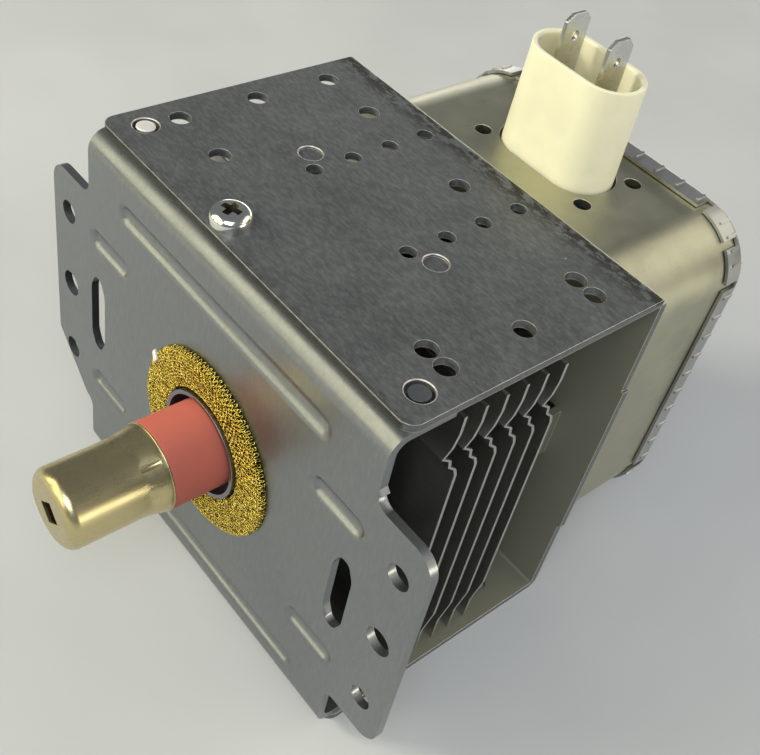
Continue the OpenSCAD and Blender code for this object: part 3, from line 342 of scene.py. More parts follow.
# painted shade: the cross recess is coloured dark, besides being rougher
shaded_recess_zinc = rolled_metal("screw_recess_painted_shade", (0.30, 0.30, 0.22, 1.0), 0.30, (1, 1, 1))
seal_steel = rolled_metal("seal_cup_steel", (0.28, 0.26, 0.29, 1.0), 0.32, (1, 6, 1))
tungsten = rolled_metal("tungsten_wire", (0.30, 0.30, 0.31, 1.0), 0.38, (1, 6, 1))
copper = rolled_metal("oxygen_free_copper", (0.80, 0.42, 0.26, 1.0), 0.30, (1, 4, 1))
strap_metal = rolled_metal("strap_bronze", (0.70, 0.52, 0.30, 1.0), 0.30, (1, 1, 1))

# %% [markdown]
# ## Ceramic, plastic, resin and ferrite
# These are not metals: their own colour scatters back. The pink ceramic is fired and dry, with fine
# pores. The connector is moulded in ivory plastic, and light passes a little way into it, which
# subsurface scattering gives. Ferrite is a black sintered powder with chipped grains, and the capacitor
# is potted in dark resin. All four are a colour with clouds and pores in it, so one function makes them.

# %% Ceramic, plastic, resin and ferrite
def dry_body(name, colour, rough, pore, depth, spots=0.25, specular=0.5, gleam=0.0, subsurface=0.0):
    f = Finish(name)
    clouds = f.spread(f.noise(6, detail=3, shift=5.0), 0.3, 0.7)
    pores = f.noise(pore, detail=4, rough=0.65)
    dots = f.spread(pores, 0.58, 0.7)
    dark = tuple(c * 0.78 for c in colour[:3]) + (1.0,)
    shade = f.mix(0.22 * clouds + spots * dots, colour, dark)
    sockets = {"Base Color": shade, "Roughness": rough + 0.12 * (pores - 0.5) + 0.08 * (clouds - 0.5),
               "Specular IOR Level": specular, "Coat Weight": gleam, "Coat Roughness": 0.2}
    if subsurface:
        sockets.update({"Subsurface Weight": subsurface, "Subsurface Radius": (1.0, 0.85, 0.6),
                        "Subsurface Scale": 1.5 * MM})
    return f.done(sockets, height=1 - pores, depth=depth)


pink_ceramic = dry_body("pink_ceramic", (0.57, 0.147, 0.11, 1.0), 0.62, 0.25, 0.012, spots=0.2,
                        specular=0.35)
white_ceramic = dry_body("white_ceramic", (0.82, 0.80, 0.74, 1.0), 0.5, 0.3, 0.01, spots=0.1)
ivory_plastic = dry_body("ivory_plastic", (0.85, 0.815, 0.62, 1.0), 0.40, 0.5, 0.006, spots=0.05,
                         subsurface=0.6)
ferrite = dry_body("ferrite", (0.035, 0.034, 0.036, 1.0), 0.6, 0.5, 0.05, spots=0.5)
blue_resin = dry_body("blue_resin", (0.03, 0.06, 0.12, 1.0), 0.35, 0.8, 0.02, gleam=0.2)

# %% [markdown]
# ## Brass wire
# The gasket is knitted from brass wire. Its sparkle comes from the wires' own round shape, which is
# modelled further down, so this finish stays simple: a bright yellow metal with dark, tarnished
# stretches. A nearly black brass goes on the core between the wires, where little light gets in.

# %% Brass wire
def brass_wire(name, bright, dull, rough):
    f = Finish(name)
    tarnish = f.spread(f.noise(1.3, detail=4, rough=0.7), 0.45, 0.7)
    grain = f.noise(0.12, detail=2)
    colour = f.mix(tarnish, bright, dull)
    roughness = rough + 0.15 * tarnish + 0.05 * grain
    return f.done({"Base Color": colour, "Metallic": 1.0, "Roughness": roughness},
                  height=grain, depth=0.004)


brass_knit = brass_wire("brass_knit", (1.0, 0.78, 0.16, 1.0), (0.26, 0.17, 0.02, 1.0), 0.12)
brass_core = brass_wire("brass_core", (0.05, 0.035, 0.01, 1.0), (0.02, 0.015, 0.005, 1.0), 0.55)

# %% [markdown]
# ## Putting a piece in the scene
# Every piece rides on the one body of this part and may stand for a CAD node, which then isn't
# drawn. Doing this in one function keeps any of it from being forgotten.
# Shading is smooth, apart from edges that are sharper than the given angle.

# %% Putting a piece in the scene
def show(name, bm, materials, slot, *replaced, sharp=35):
    mesh = bpy.data.meshes.new(name)
    for face in bm.faces:
        face.smooth = True
    bm.to_mesh(mesh)
    bm.free()
    mesh.set_sharp_from_angle(angle=math.radians(sharp))
    for material in materials if isinstance(materials, list) else [materials]:
        mesh.materials.append(material)
    piece = bpy.data.objects.new(name, mesh)
    bpy.context.scene.collection.objects.link(piece)
    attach(piece, "root")
    if replaced:
        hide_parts(*replaced)
    print(name, "has", len(mesh.polygons), "faces")
    return piece


# %% [markdown]
# ## Edges that catch the light
# A sheared or folded sheet never ends in a perfect corner, and the thin bright lines along its edges are
# what makes it look like metal. A Bevel modifier could round every edge alike, but here some edges are
# softer than others, and the rounded ones may get a finish of their own. So the bevel is a bmesh operator
# on chosen edges. A copy of a CAD node is loose triangles: its doubles are merged and its flat faces
# joined first.

# %% Edges that catch the light
DOUBLES = 0.002  # points closer than this, in mm, are one


def sheet_copy(node):
    """A merged copy of a CAD node's mesh, with its flat faces joined."""
    bm = bmesh.new()
    bm.from_mesh(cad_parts[node].data)
    bmesh.ops.remove_doubles(bm, verts=bm.verts, dist=DOUBLES * MM)
    bmesh.ops.dissolve_limit(bm, angle_limit=math.radians(0.5), verts=bm.verts, edges=bm.edges,
                             use_dissolve_boundaries=False)
    return bm


def sharp_edges(bm, angle=30, where=None):
    """Edges bent by more than the angle; `where` may choose among them by their middle, in mm."""
    found = [e for e in bm.edges if len(e.link_faces) == 2 and e.calc_face_angle() > math.radians(angle)]
    return [e for e in found if where is None or where((e.verts[0].co + e.verts[1].co) / 2 / MM)]


def ease(bm, edges, width, segments=2, finish=0):
    """Bevels the edges; the new faces take the piece's first material, or the one whose number is given."""
    if edges:
        made = bmesh.ops.bevel(bm, geom=edges, offset=width * MM, offset_type="OFFSET", segments=segments,
                               profile=0.5, affect="EDGES", material=-1, clamp_overlap=True)
        for face in made["faces"]:
            face.material_index = finish


def weighted(piece):
    """Lets large faces set the normals, so that flat sheet stays flat beside its bevels."""
    keep = piece.modifiers.new("flat_faces", "WEIGHTED_NORMAL")
    keep.keep_sharp = True
    return piece


def eased(node, name, materials, slot, width, angle=30):
    """An eased copy of a CAD node; a second material, if there is one, goes on the eased edges."""
    bm = sheet_copy(node)
    ease(bm, sharp_edges(bm, angle), width, finish=1 if isinstance(materials, list) else 0)
    return weighted(show(name, bm, materials, slot, node))


# %% [markdown]
# ## Carving
# Some shapes are easiest to take away: a cutter is modelled, and a Boolean modifier removes it from the
# piece. The modifier could stay live, but then the cutters would have to stay too. So the result is read
# back into a bmesh at once, and no modifier and no cutter is left in the scene.

# %% Carving
def carve(bm, cutters):
    """Takes the cutters, which are bmeshes, out of bm and gives the carved bmesh."""
    solids = []
    for shape in [bm, *cutters]:
        for face in shape.faces:
            face.smooth = True
        mesh = bpy.data.meshes.new("carving")
        shape.to_mesh(mesh)
        shape.free()
        solids.append(bpy.data.objects.new("carving", mesh))
        bpy.context.scene.collection.objects.link(solids[-1])
    for cutter in solids[1:]:
        cut = solids[0].modifiers.new("cut", "BOOLEAN")
        cut.operation, cut.solver, cut.object = "DIFFERENCE", "EXACT", cutter
    whole = solids[0].evaluated_get(bpy.context.evaluated_depsgraph_get())
    result = bpy.data.meshes.new_from_object(whole)
    for solid in solids:
        bpy.data.meshes.remove(solid.data)
    carved = bmesh.new()
    carved.from_mesh(result)
    bpy.data.meshes.remove(result)
    bmesh.ops.remove_doubles(carved, verts=carved.verts, dist=DOUBLES * MM)
    print("carved with", len(cutters), "cutters:", len(carved.faces), "faces")
    return carved


# %% [markdown]
# ## Turned shapes
# Anything made on a lathe or drawn in a round die is a profile turned about an axis. A cylinder could be
# scaled ring by ring, but the profile is easier to read: a few points, each a radius and a place along
# the axis in mm. The spin operator turns it once round.

# %% Turned shapes
def spun(profile, centre, axis="Z", steps=48):
    bm = bmesh.new()
    points = [bm.verts.new((r * MM, 0, along * MM)) for r, along in profile]
    for first, second in zip(points, points[1:]):
        bm.edges.new((first, second))
    bmesh.ops.spin(bm, geom=bm.verts[:] + bm.edges[:], cent=(0, 0, 0), axis=(0, 0, 1),
                   angle=2 * math.pi, steps=steps, use_merge=True)
    bmesh.ops.remove_doubles(bm, verts=bm.verts, dist=DOUBLES * MM / 2)
    if axis == "Y":
        bmesh.ops.rotate(bm, verts=bm.verts, cent=(0, 0, 0), matrix=Matrix.Rotation(-math.pi / 2, 3, "X"))
    bmesh.ops.translate(bm, verts=bm.verts, vec=Vector(centre) * MM)
    bmesh.ops.recalc_face_normals(bm, faces=bm.faces)
    return bm


def arc(centre, radius, start, end, points):
    """Points of an arc, with angles in degrees."""
    angles = [math.radians(start + (end - start) * k / (points - 1)) for k in range(points)]
    return [(centre[0] + radius * math.cos(a), centre[1] + radius * math.sin(a)) for a in angles]


# %% [markdown]
# ## Pressed beads
# Grooves pressed into the mounting plate keep it stiff. A press can't leave a sharp rim, so the trough
# rolls into the plate over a soft shoulder, and that shoulder is what catches the light. A bump map would
# look flat from the side. So the plain grooves of the CAD plate are taken out and closed over, and softer
# ones are carved: the cutter is a profile of trough and shoulder, turned into a bowl whose two halves are
# moved apart into a long pill.

# %% Pressed beads
BEADS = [(-0.5, 29.2, 58.0), (0.5, -30.8, 60.0)]
BEADS += [(x * 32.8, s * 17.4, 13.0) for x in (-1, 1) for s in (-1, 1)]
BEAD_R, BEAD_DEPTH, SHOULDER_R = 2.4, 1.15, 1.6
LIP = math.radians(5)


def flatten(bm, x, z, length):
    """Takes one plain groove out of the plate's front."""
    def in_groove(face):
        middle = face.calc_center_median() / MM
        return (abs(middle.x - x) < length / 2 + 1 and abs(middle.z - z) < BEAD_R + 1
                and 0.005 < middle.y < 1.2 and face.normal.y < -0.05)
    groove = [f for f in bm.faces if in_groove(f)]
    bmesh.ops.delete(bm, geom=groove, context="FACES")
    rim = [e for e in bm.edges if e.is_boundary]
    bmesh.ops.holes_fill(bm, edges=rim, sides=0)
    return len(groove)


def bead_cutter(x, z, length):
    trough_y = BEAD_DEPTH - BEAD_R
    half_w = math.sqrt((BEAD_R + SHOULDER_R) ** 2 - (SHOULDER_R - trough_y) ** 2)
    turn = math.asin(half_w / (BEAD_R + SHOULDER_R))
    trough = [turn * k / 8 for k in range(9)]
    shoulder = [turn + (LIP - turn) * k / 8 for k in range(1, 9)]
    profile = [(BEAD_R * math.sin(a), trough_y + BEAD_R * math.cos(a)) for a in trough]
    profile += [(half_w - SHOULDER_R * math.sin(a), SHOULDER_R * (1 - math.cos(a))) for a in shoulder]
    edge_w, edge_y = profile[-1]
    profile += [(edge_w + (edge_y + 0.1) / math.tan(LIP), -0.1), (edge_w + 2, -2), (0, -2)]
    bm = spun(profile, (0, 0, 0), "Y", steps=40)
    for side in (-1, 1):
        half = [v for v in bm.verts if v.co.x * side > 1e-6]
        bmesh.ops.translate(bm, verts=half, vec=(side * (length / 2 - BEAD_R) * MM, 0, 0))
    bmesh.ops.translate(bm, verts=bm.verts, vec=(x * MM, 0, z * MM))
    return bm


plate = sheet_copy("front_yoke")
print("plain groove faces taken out:", [flatten(plate, *bead) for bead in BEADS])

# %% [markdown]
# ## Room for the gasket's clip
# A small tongue of the mounting plate is bent over the gasket. In the CAD it is a plain step. It could be
# bevelled where it is, but it is too small to round well, so a block takes it off together with the
# beads, and a rounded tongue takes its place further down. The same function makes both blocks.

# %% Room for the gasket's clip
CLIP_TURN, CLIP_R, CLIP_ROOM, CLIP_ROOM_Y = 151, 17.2, (3.8, 3.0, 1.6), -1.51


def clip_block(size, y, lean=0):
    """A block on the clip's place: its length lies along the gasket's radius, and it may lean outwards."""
    bm = bmesh.new()
    bmesh.ops.create_cube(bm, size=MM)
    bmesh.ops.scale(bm, vec=size, verts=bm.verts)
    for angle, axis, move in ((lean, "Z", (CLIP_R, y, 0)), (-CLIP_TURN, "Y", (0, 0, 0))):
        turn = Matrix.Rotation(math.radians(angle), 3, axis)
        bmesh.ops.rotate(bm, verts=bm.verts, cent=(0, 0, 0), matrix=turn)
        bmesh.ops.translate(bm, verts=bm.verts, vec=Vector(move) * MM)
    return bm


plate = carve(plate, [bead_cutter(*bead) for bead in BEADS] + [clip_block(CLIP_ROOM, CLIP_ROOM_Y)])

# %% [markdown]
# ## The yokes
# The two folded sheets carry everything. Their CAD shapes are right, so they aren't modelled again:
# copies with eased edges stand for them. Round the two locating buttons and the two dimples the punch has
# drawn the rim down, so those rims get a wide soft edge.

# %% The yokes
BUTTON_X, BUTTON_Y, BUTTON_HOLE_R = 35.25, 8.3, 2.25
DIMPLES_X, DIMPLES_Y, DIMPLE_R = (-16.9, 15.5), 28.95, 2.1
PUNCHED = [(-BUTTON_X, BUTTON_Y, BUTTON_HOLE_R), (BUTTON_X, BUTTON_Y, BUTTON_HOLE_R)]
PUNCHED += [(x, DIMPLES_Y, DIMPLE_R) for x in DIMPLES_X]
SLOT_HALF_H, SLOT_FROM_X, SLOT_TO_X = 9.0, 34.0, 39.4
SLOT_EASE, PLATE_EASE, PUNCHED_EASE, YOKE_EASE = 0.8, 0.2, 0.4, 0.22


def on_punched_rim(p):
    on_rim = [abs(math.hypot(p.x - x, p.y - y) - r) < 0.1 for x, y, r in PUNCHED]
    return p.z > yoke_high.z - 0.05 and any(on_rim)


def slot_corners(bm):
    """The edges through the plate at the corners of its two slots."""
    def at_slot(p):
        return abs(p.z) < SLOT_HALF_H and SLOT_FROM_X < abs(p.x) < SLOT_TO_X

    through = [e for e in sharp_edges(bm, 20) if (e.verts[0].co - e.verts[1].co).xz.length < 1e-6]
    return [e for e in through if at_slot(e.verts[0].co / MM)]


ease(plate, slot_corners(plate), SLOT_EASE, segments=4)
ease(plate, sharp_edges(plate, 40), PLATE_EASE, finish=1)
weighted(show("mounting_plate", plate, [plate_zinc, edge_zinc], "plated_steel", "front_yoke"))
yoke = sheet_copy("rear_yoke")
ease(yoke, sharp_edges(yoke, 40, on_punched_rim), PUNCHED_EASE, segments=4, finish=1)
ease(yoke, sharp_edges(yoke, 40), YOKE_EASE, segments=3, finish=1)
weighted(show("yoke_shell", yoke, [yoke_zinc, edge_zinc], "plated_steel", "rear_yoke"))

# %% [markdown]
# ## Locating buttons and the gasket's clip
# The buttons are half sheared out of the lower sheet and stand in holes of the upper one. The left one is
# higher, and its top is painted pale as a painted highlight for the light it catches; the right one is
# lower and slightly domed. Only their tops show, so each is a low turned disc on the CAD button. The clip
# is a block with well-rounded edges, leaning on the gasket's shoulder, with the same painted highlight.

# %% Buttons and clip
# painted highlight: a pale, dull zinc stands for the light on the left button's top and on the clip
pale_highlight_zinc = zinc_sheet("pale_highlight_zinc", 0.80, 0.55, (1, 1, 1), 0.06, metallic=0.4, warm=0.03)
BUTTON_R, BUTTON_FOOT = 1.66, 39.5
PALE_TOP, PALE_EDGE_R, PALE_SAG = 40.05, 0.3, 0.03
DOME_TOP, DOME_DROP, DOME_RINGS = 39.86, 0.14, 5
pale_edge = arc((BUTTON_R - PALE_EDGE_R, PALE_TOP - PALE_EDGE_R - PALE_SAG), PALE_EDGE_R, 90, 0, 5)
disc = [(0, PALE_TOP), *pale_edge, (BUTTON_R, BUTTON_FOOT)]
# the left button, in the pale finish with its painted highlight
worn = spun(disc + [(0, BUTTON_FOOT)], (-BUTTON_X, BUTTON_Y, 0))
show("pale_button", worn, pale_highlight_zinc, "plated_steel", sharp=60)
rings = [k / DOME_RINGS for k in range(DOME_RINGS + 1)]
dome = [(BUTTON_R * out, DOME_TOP - DOME_DROP * out ** 2) for out in rings] + [(BUTTON_R, BUTTON_FOOT)]
domed = spun(dome + [(0, BUTTON_FOOT)], (BUTTON_X, BUTTON_Y, 0))
show("domed_button", domed, plate_zinc, "plated_steel", sharp=60)

CLIP_SIZE, CLIP_Y, CLIP_LEAN, CLIP_EASE = (2.1, 0.7, 1.25), -1.2, 20, 0.3
tongue = clip_block(CLIP_SIZE, CLIP_Y, CLIP_LEAN)
ease(tongue, tongue.edges[:], CLIP_EASE, segments=4)
# the clip takes the same pale finish, a painted highlight
show("gasket_clip", tongue, pale_highlight_zinc, "plated_steel", sharp=60)

# %% [markdown]
# ## Filter box and lid
# The box shields the chokes and the capacitor. It is drawn in one piece from thin sheet, so its edges are
# finer than the yokes', and the rims of its holes are bright. The lid is a pan: its back rolls over into
# the skirt with a wider radius than its cut edges have. Both have the right shape in the CAD, so eased
# copies do.

# %% Filter box and lid
BOX_EASE, LID_ROLL, LID_EASE = 0.16, 0.8, 0.1
eased("filter_box", "box_shell", [box_tin, edge_zinc], "box_steel", BOX_EASE)
lid_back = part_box("filter_lid")[1].y / MM
lid = sheet_copy("filter_lid")
ease(lid, sharp_edges(lid, 60, lambda p: p.y > lid_back - 0.01), LID_ROLL, segments=4)
ease(lid, sharp_edges(lid, 40, lambda p: p.y < lid_back - 0.7), LID_EASE)
weighted(show("lid_shell", lid, lid_tin, "box_steel", "filter_lid"))

# %% [markdown]
# ## Fins
# Six thin aluminium sheets, jogged near their ends, carry the heat of the anode away. What shows of them
# is mostly their cut edges, as bright lines in a dark space. They could be given one shiny finish, but
# then their faces would shine as well. So the bevelled edges alone get the bright one.

# %% Fins
FINS, FIN_EASE = 6, 0.14
fin_metal = [fin_aluminium, cut_aluminium]
for number in range(1, FINS + 1):
    eased(f"cooling_fin_{number}", f"fin_sheet_{number}", fin_metal, "fin_aluminium", FIN_EASE, angle=40)

# %% [markdown]
# ## Connector and blades
# An oval plastic shroud stands round two push-on blades. It is moulded with a thin rim. Scaling the whole
# rim would change its outline, so only its inner edge is cut back by a wide bevel, and the outer edge by
# a narrow one. The blades are stamped, with a little round detent, and need only their edges eased.

# %% Connector and blades
shroud = sheet_copy("capacitor_housing")
shroud_low, shroud_high = (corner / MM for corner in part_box("capacitor_housing"))
shroud_mid = (shroud_low + shroud_high) / 2
RIM_EASE, SHROUD_EASE, BLADE_EASE = 0.55, 0.2, 0.15
rim = [v.co / MM for v in shroud.verts if v.co.z / MM > shroud_high.z - 0.01]
rim_half = max(p.y for p in rim) - shroud_mid.y
rim_straight = max(p.x for p in rim) - shroud_mid.x - rim_half


def on_inner_rim(p):
    """On the rim, and nearer to the shroud's middle than the outer edge is."""
    out = max(abs(p.x - shroud_mid.x) - rim_straight, 0)
    return p.z > shroud_high.z - 0.02 and math.hypot(out, p.y - shroud_mid.y) < rim_half - 0.4


ease(shroud, sharp_edges(shroud, 30, on_inner_rim), RIM_EASE, segments=3)
ease(shroud, sharp_edges(shroud, 30), SHROUD_EASE)
weighted(show("connector", shroud, ivory_plastic, "ivory_plastic", "capacitor_housing"))
for side in ("left", "right"):
    eased(f"terminal_blade_{side}", f"blade_{side}", blade_tin, "tin_plate", BLADE_EASE)

# %% [markdown]
# ## Antenna: cap, ceramic and seal
# The cap is a drawn cup whose flared end sits on the ceramic tube. Its edge is rolled over. A bevel can't
# roll an edge outwards, so a thin ring is turned for it: a small circle for a profile makes a torus. The
# ceramic and the steel seal round its foot keep their CAD shapes with eased edges.

# %% Antenna
CAP_RIM_R, CAP_RIM_Y, CAP_ROLL_R = 7.86, -11.15, 0.17
CAP_EASE, CERAMIC_EASE, SEAL_EASE = 0.12, 0.12, 0.1
eased("antenna_cap", "drawn_cap_shell", cap_nickel, "cap_metal", CAP_EASE)
roll = spun(arc((CAP_RIM_R, CAP_RIM_Y), CAP_ROLL_R, 0, 360, 13), (0, 0, 0), "Y", steps=96)
show("cap_rim", roll, cap_nickel, "cap_metal", sharp=60)
eased("output_ceramic", "ceramic_tube", pink_ceramic, "pink_ceramic", CERAMIC_EASE)
eased("output_seal_cup", "seal_ring", seal_steel, "seal_steel", SEAL_EASE)

# %% [markdown]
# ## Screw
# A pan-head screw is turned, and then its cross is struck by a punch. It is made here in the same order:
# the turned profile has a low wall, a wide round shoulder and a nearly flat top, and the cross is two
# tapered bars that are carved out of it. The recess has a rougher finish, as a punch leaves it, and a
# darker colour as painted shade in the cross.

# %% Screw
low, high = (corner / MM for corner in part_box("yoke_screw"))
screw_x, screw_y, head_r = (low.x + high.x) / 2, (low.y + high.y) / 2, (high.x - low.x) / 2
foot = low.z - yoke_high.z
HEAD_H, CROWN, SHANK_R, SHOULDER, RECESS_EASE = 2.6, 0.12, 2.0, 1.45, 0.07
CROSS_L, CROSS_W, CROSS_DEPTH, CROSS_TURN, CROSS_TAPER = 4.8, 1.5, 1.8, 20, (0.45, 0.6, 1)
head = [(0, foot), (SHANK_R, foot), (SHANK_R, 0), (head_r, 0)]
head += [*arc((head_r - SHOULDER, HEAD_H - SHOULDER - CROWN), SHOULDER, 0, 84, 10), (0, HEAD_H)]


def cross_bar(turn):
    bar = bmesh.new()
    bmesh.ops.create_cube(bar, size=MM)
    bmesh.ops.scale(bar, vec=(CROSS_L, CROSS_W, 2 * CROSS_DEPTH), verts=bar.verts)
    bmesh.ops.scale(bar, vec=CROSS_TAPER, verts=[v for v in bar.verts if v.co.z < 0])
    bmesh.ops.translate(bar, verts=bar.verts, vec=(0, 0, HEAD_H * MM))
    turned_by = Matrix.Rotation(math.radians(turn), 3, "Z")
    bmesh.ops.rotate(bar, verts=bar.verts, cent=(0, 0, 0), matrix=turned_by)
    return bar


turned = carve(spun(head, (0, 0, 0), steps=64), [cross_bar(CROSS_TURN), cross_bar(CROSS_TURN + 90)])
turned.normal_update()
# the recess's walls and floor take the finish with painted shade
for face in turned.faces:
    middle = face.calc_center_median() / MM
    if 0.3 < middle.z < HEAD_H - 0.15 and middle.xy.dot(face.normal.xy) < 0.05:
        face.material_index = 1
ease(turned, sharp_edges(turned, 35, lambda p: p.z > 0.2), RECESS_EASE)
bmesh.ops.translate(turned, verts=turned.verts, vec=Vector((screw_x, screw_y, yoke_high.z)) * MM)
weighted(show("pan_screw", turned, [screw_zinc, shaded_recess_zinc], "zinc_screw", "yoke_screw"))

# %% [markdown]
# ## Gasket
# A stocking of knitted brass wire, pressed into a flat ring, seals the tube against its waveguide. The
# wire could be painted on, but its sparkle comes from thousands of tiny round strands, each with its own
# highlight. So the strands are made: rows of knitted loops run round the ring, one beside the other over
# its rounded section and a little disordered. They are curves with a round bevel, which is the simplest
# way to a wire, and they end up as one mesh. A dark turned core fills the ring behind them.

# %% Gasket core
GASKET_IN, GASKET_OUT, GASKET_T, GASKET_R = 10.35, 17.6, 1.3, 0.95
CORE_OUT, CORE_TOP = GASKET_OUT - 0.15, 0.15 - GASKET_T
core = [(GASKET_IN, 0), (GASKET_IN, -0.6), (GASKET_IN + 1, CORE_TOP), (CORE_OUT - 0.85, CORE_TOP)]
core += [(CORE_OUT, -0.6), (CORE_OUT, 0), (GASKET_IN, 0)]
ring = spun(core, (0, 0, 0), "Y", steps=96)
show("gasket_core", ring, brass_core, "brass_mesh", "rf_gasket")

# %% [markdown]
# ## The path of a strand
# Seen in section, the ring is a flat hill with two rounded corners, and the wire has to follow it. The
# strands could be thrown on the core by a Shrinkwrap modifier, but the section is so plain that a function
# can walk along it: up the outer side, round a corner, over the top, and down the inner side. It also
# gives the way outwards there, along which a loop rises and sinks.

# %% The path of a strand
def section_point(s):
    """Point and outward direction, as (radius, y), s mm along the ring's section from its outer foot."""
    side, top, corner = GASKET_T - GASKET_R, GASKET_OUT - GASKET_IN - 2 * GASKET_R, GASKET_R * math.pi / 2
    if s < side:
        return (GASKET_OUT, -s), (1, 0)
    s -= side
    if s < corner:
        a = s / GASKET_R
        return ((GASKET_OUT - GASKET_R + GASKET_R * math.cos(a), -side - GASKET_R * math.sin(a)),
                (math.cos(a), -math.sin(a)))
    s -= corner
    if s < top:
        return (GASKET_OUT - GASKET_R - s, -GASKET_T), (0, -1)
    s -= top
    a = min(s / GASKET_R, math.pi / 2)
    drop = max(0.0, s - corner)
    return ((GASKET_IN + GASKET_R - GASKET_R * math.sin(a), -side - GASKET_R * math.cos(a) + drop),
            (-math.sin(a), -math.cos(a)))


section_l = 2 * GASKET_T + GASKET_OUT - GASKET_IN - (4 - math.pi) * GASKET_R
print("the ring's section is", round(section_l, 2), "mm round")

# %% [markdown]
# ## The knitted wire
# A row of knitting is one wire that swings from side to side and rises where it crosses its neighbour. So
# each row is a closed curve: a wave across the row, a smaller one up and down, and a sway along it, with a
# little chance in all three. The chance comes from a fixed seed, so that every run knits the same ring.

# %% The knitted wire
LOOP_W, ROW_PITCH, WIRE_R, LOOP_POINTS, KNIT_SEED = 0.95, 0.58, 0.085, 8, 5
SWING, RISE, SINK, SWAY = 0.8 * ROW_PITCH, 0.09, 0.04, 0.65
SWING_CHANCE, RISE_CHANCE, SWAY_CHANCE, FOOT = 0.10, 0.05, 0.08, 0.1


def knitted_ring(name, seed):
    chance = random.Random(seed)
    curve = bpy.data.curves.new(name, "CURVE")
    curve.dimensions, curve.bevel_depth, curve.bevel_resolution = "3D", WIRE_R * MM, 0
    for row in range(1, int(section_l / ROW_PITCH)):
        s = row * ROW_PITCH
        loops = round(2 * math.pi * section_point(s)[0][0] / LOOP_W)
        steps = loops * LOOP_POINTS
        start = chance.random()
        strand = curve.splines.new("POLY")
        strand.points.add(steps - 1)
        strand.use_cyclic_u = True
        for k in range(steps):
            t = 2 * math.pi * loops * k / steps
            across = SWING * math.cos(t) + chance.gauss(0, SWING_CHANCE)
            lift = RISE * math.cos(2 * t) + chance.gauss(0, RISE_CHANCE) - SINK
            (r, y), (out_r, out_y) = section_point(min(max(s + across, FOOT), section_l - FOOT))
            angle = (t + SWAY * math.sin(2 * t)) / loops + start + chance.gauss(0, SWAY_CHANCE) / r
            r, y = (r + lift * out_r) * MM, (y + lift * out_y) * MM
            strand.points[k].co = (r * math.cos(angle), min(y, -WIRE_R * MM), r * math.sin(angle), 1)
    wires = bpy.data.objects.new(name, curve)
    bpy.context.scene.collection.objects.link(wires)
    mesh = bpy.data.meshes.new_from_object(wires.evaluated_get(bpy.context.evaluated_depsgraph_get()))
    bpy.data.objects.remove(wires)
    bm = bmesh.new()
    bm.from_mesh(mesh)
    bpy.data.meshes.remove(mesh)
    return bm


show("gasket_knit", knitted_ring("gasket_knit", KNIT_SEED), brass_knit, "brass_mesh", sharp=180)

# %% [markdown]
# ## The remaining pieces
# The magnets, the tube's inner parts and the filter's coils are inside, and only slivers of them show
# between the fins. Their CAD shapes are right as they are, so they aren't copied: each only gets its
# finish in its own material slot.

# %% The remaining pieces
LEFT = {"front_magnet": ferrite, "rear_magnet": ferrite, "anode_cylinder": copper, "filament": tungsten,
        "front_end_hat": tungsten, "rear_end_hat": tungsten, "centre_lead": tungsten, "side_lead": tungsten,
        "cathode_seal_cup": seal_steel, "stem_ceramic": white_ceramic, "stem_terminal_left": blade_tin,
        "stem_terminal_right": blade_tin, "capacitor_flange": box_tin, "capacitor_body": blue_resin,
        "choke_coil_left": copper, "choke_coil_right": copper, "choke_core_left": ferrite,
        "choke_core_right": ferrite, "output_top_seal": seal_steel, "exhaust_tube": copper,
        "antenna_lead": copper, "front_pole_piece": seal_steel, "rear_pole_piece": seal_steel}
LEFT.update({f"anode_vane_{n}": copper for n in range(1, 11)})
for end in ("front", "rear"):
    LEFT.update({f"{end}_{ring}_strap": strap_metal for ring in ("inner", "outer")})
for node, material in LEFT.items():
    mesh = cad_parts[node].data
    mesh.materials.clear()
    mesh.materials.append(material)
print("CAD nodes with a new finish:", len(LEFT))

# %% [markdown]
# ## The floor
# The part stands on a plain pale sheet, as on a studio table. A world colour alone would leave it
# floating, because nothing would take its shadow. The sheet is so wide that its edge stays far from the
# part in every view, and faint clouds keep it from looking drawn.

# %% The floor
FLOOR_HALF_M, FLOOR_DARK, FLOOR_PALE = 3.0, (0.52, 0.53, 0.55, 1), (0.56, 0.57, 0.59, 1)
f = Finish("pale_floor")
floor_tone = f.mix(f.spread(f.noise(60, detail=2), 0.3, 0.7), FLOOR_DARK, FLOOR_PALE)
pale_floor = f.done({"Base Color": floor_tone, "Roughness": 0.9})
bm = bmesh.new()
bmesh.ops.create_grid(bm, x_segments=2, y_segments=2, size=FLOOR_HALF_M,
                      matrix=Matrix.Translation((0, 0, cad_box[0].z)))
floor_mesh = bpy.data.meshes.new("floor")
bm.to_mesh(floor_mesh)
bm.free()
floor_mesh.materials.append(pale_floor)
floor = bpy.data.objects.new("floor", floor_mesh)
bpy.context.scene.collection.objects.link(floor)
print("floor at", round(cad_box[0].z / MM, 1), "mm")

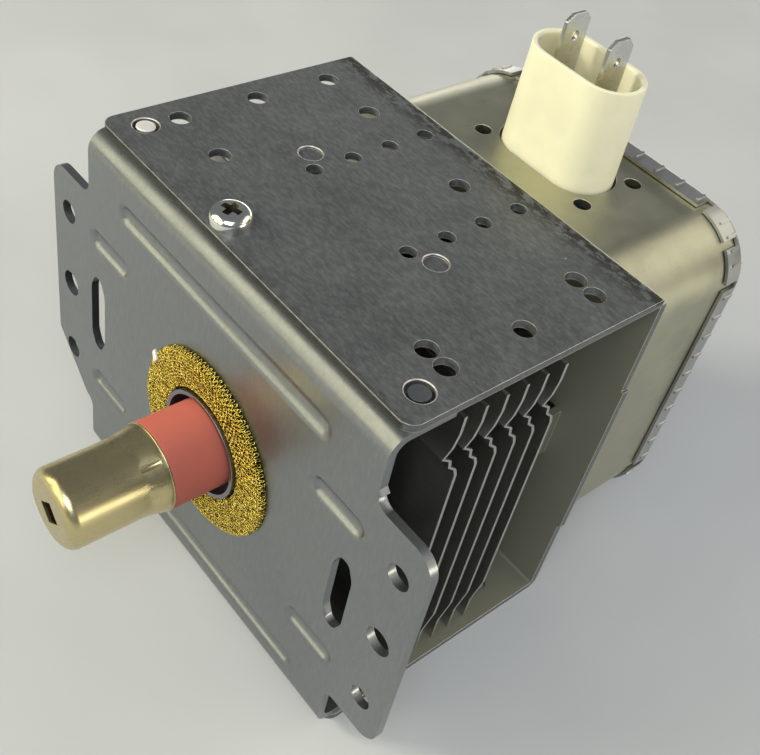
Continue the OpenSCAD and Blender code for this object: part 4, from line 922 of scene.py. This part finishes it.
# %% [markdown]
# ## The lights
# Metal shows what it mirrors, so small lamps would leave it black with burning dots. The lights are large
# panels of a chosen brightness instead, each placed for one surface. Three, from the front left to the
# front, draw the bright band on the bend and light the beads. One low at the right makes the streak on the
# cap, one higher at the right the plates' edges, one at the back the top of the filter box, and one low at
# the back the rims of the holes. A wide panel beside the camera mostly lifts the dull pieces and the floor.
# The key light gives clearer shadows from the left, and it is kept out of the mirrors, where it would burn.

# %% The lights
def panel(name, direction, distance, size, brightness, colour):
    """A panel that faces the part; its power follows from its area, so its brightness can be chosen."""
    light = bpy.data.lights.new(name, "AREA")
    light.shape, light.size, light.size_y = "RECTANGLE", size[0], size[1]
    light.energy, light.color = math.pi * size[0] * size[1] * brightness, colour
    lamp = bpy.data.objects.new(name, light)
    way = Vector(direction).normalized()
    lamp.location = way * distance + Vector((0, 0.03, 0))
    lamp.rotation_euler = way.to_track_quat("Z", "Y").to_euler()
    bpy.context.scene.collection.objects.link(lamp)
    return lamp


WARM, COOL, AMBER, CREAM = (1.0, 0.94, 0.76), (0.88, 0.94, 1.0), (1.0, 0.95, 0.64), (1.0, 0.97, 0.88)
ROOM_LIGHT = 0.2
panel("front_left_panel_a", (-0.62, -0.60, 0.50), 0.8, (0.24, 0.76), 2.6, AMBER)
panel("front_left_panel_b", (-0.30, -0.81, 0.50), 0.8, (0.24, 0.76), 2.6, AMBER)
panel("front_panel", (0.05, -0.90, 0.42), 0.8, (0.24, 0.50), 2.6, AMBER)
panel("low_right_panel", (0.90, 0.42, 0.08), 0.8, (0.36, 0.17), 8.0, WARM)
panel("right_panel", (0.70, 0.52, 0.44), 0.8, (0.32, 0.32), 1.3, WARM)
panel("back_panel", (0.28, 0.76, 0.58), 0.8, (0.55, 0.45), 1.5, WARM)
panel("low_back_panel", (-0.56, 0.82, 0.12), 0.8, (0.80, 0.14), 4.2, CREAM)
panel("camera_panel", (0.45, -0.50, 0.75), 1.0, (0.6, 0.6), 4.4, COOL)
key = panel("key_panel", (-0.64, -0.64, 0.46), 0.9, (0.18, 0.18), 40.0, WARM)
key.visible_glossy = False
world = bpy.data.worlds.new("studio")
world.use_nodes = True
world.node_tree.nodes["Background"].inputs["Color"].default_value = (*COOL, 1)
world.node_tree.nodes["Background"].inputs["Strength"].default_value = ROOM_LIGHT
bpy.context.scene.world = world
bpy.context.scene.view_settings.view_transform = "Standard"
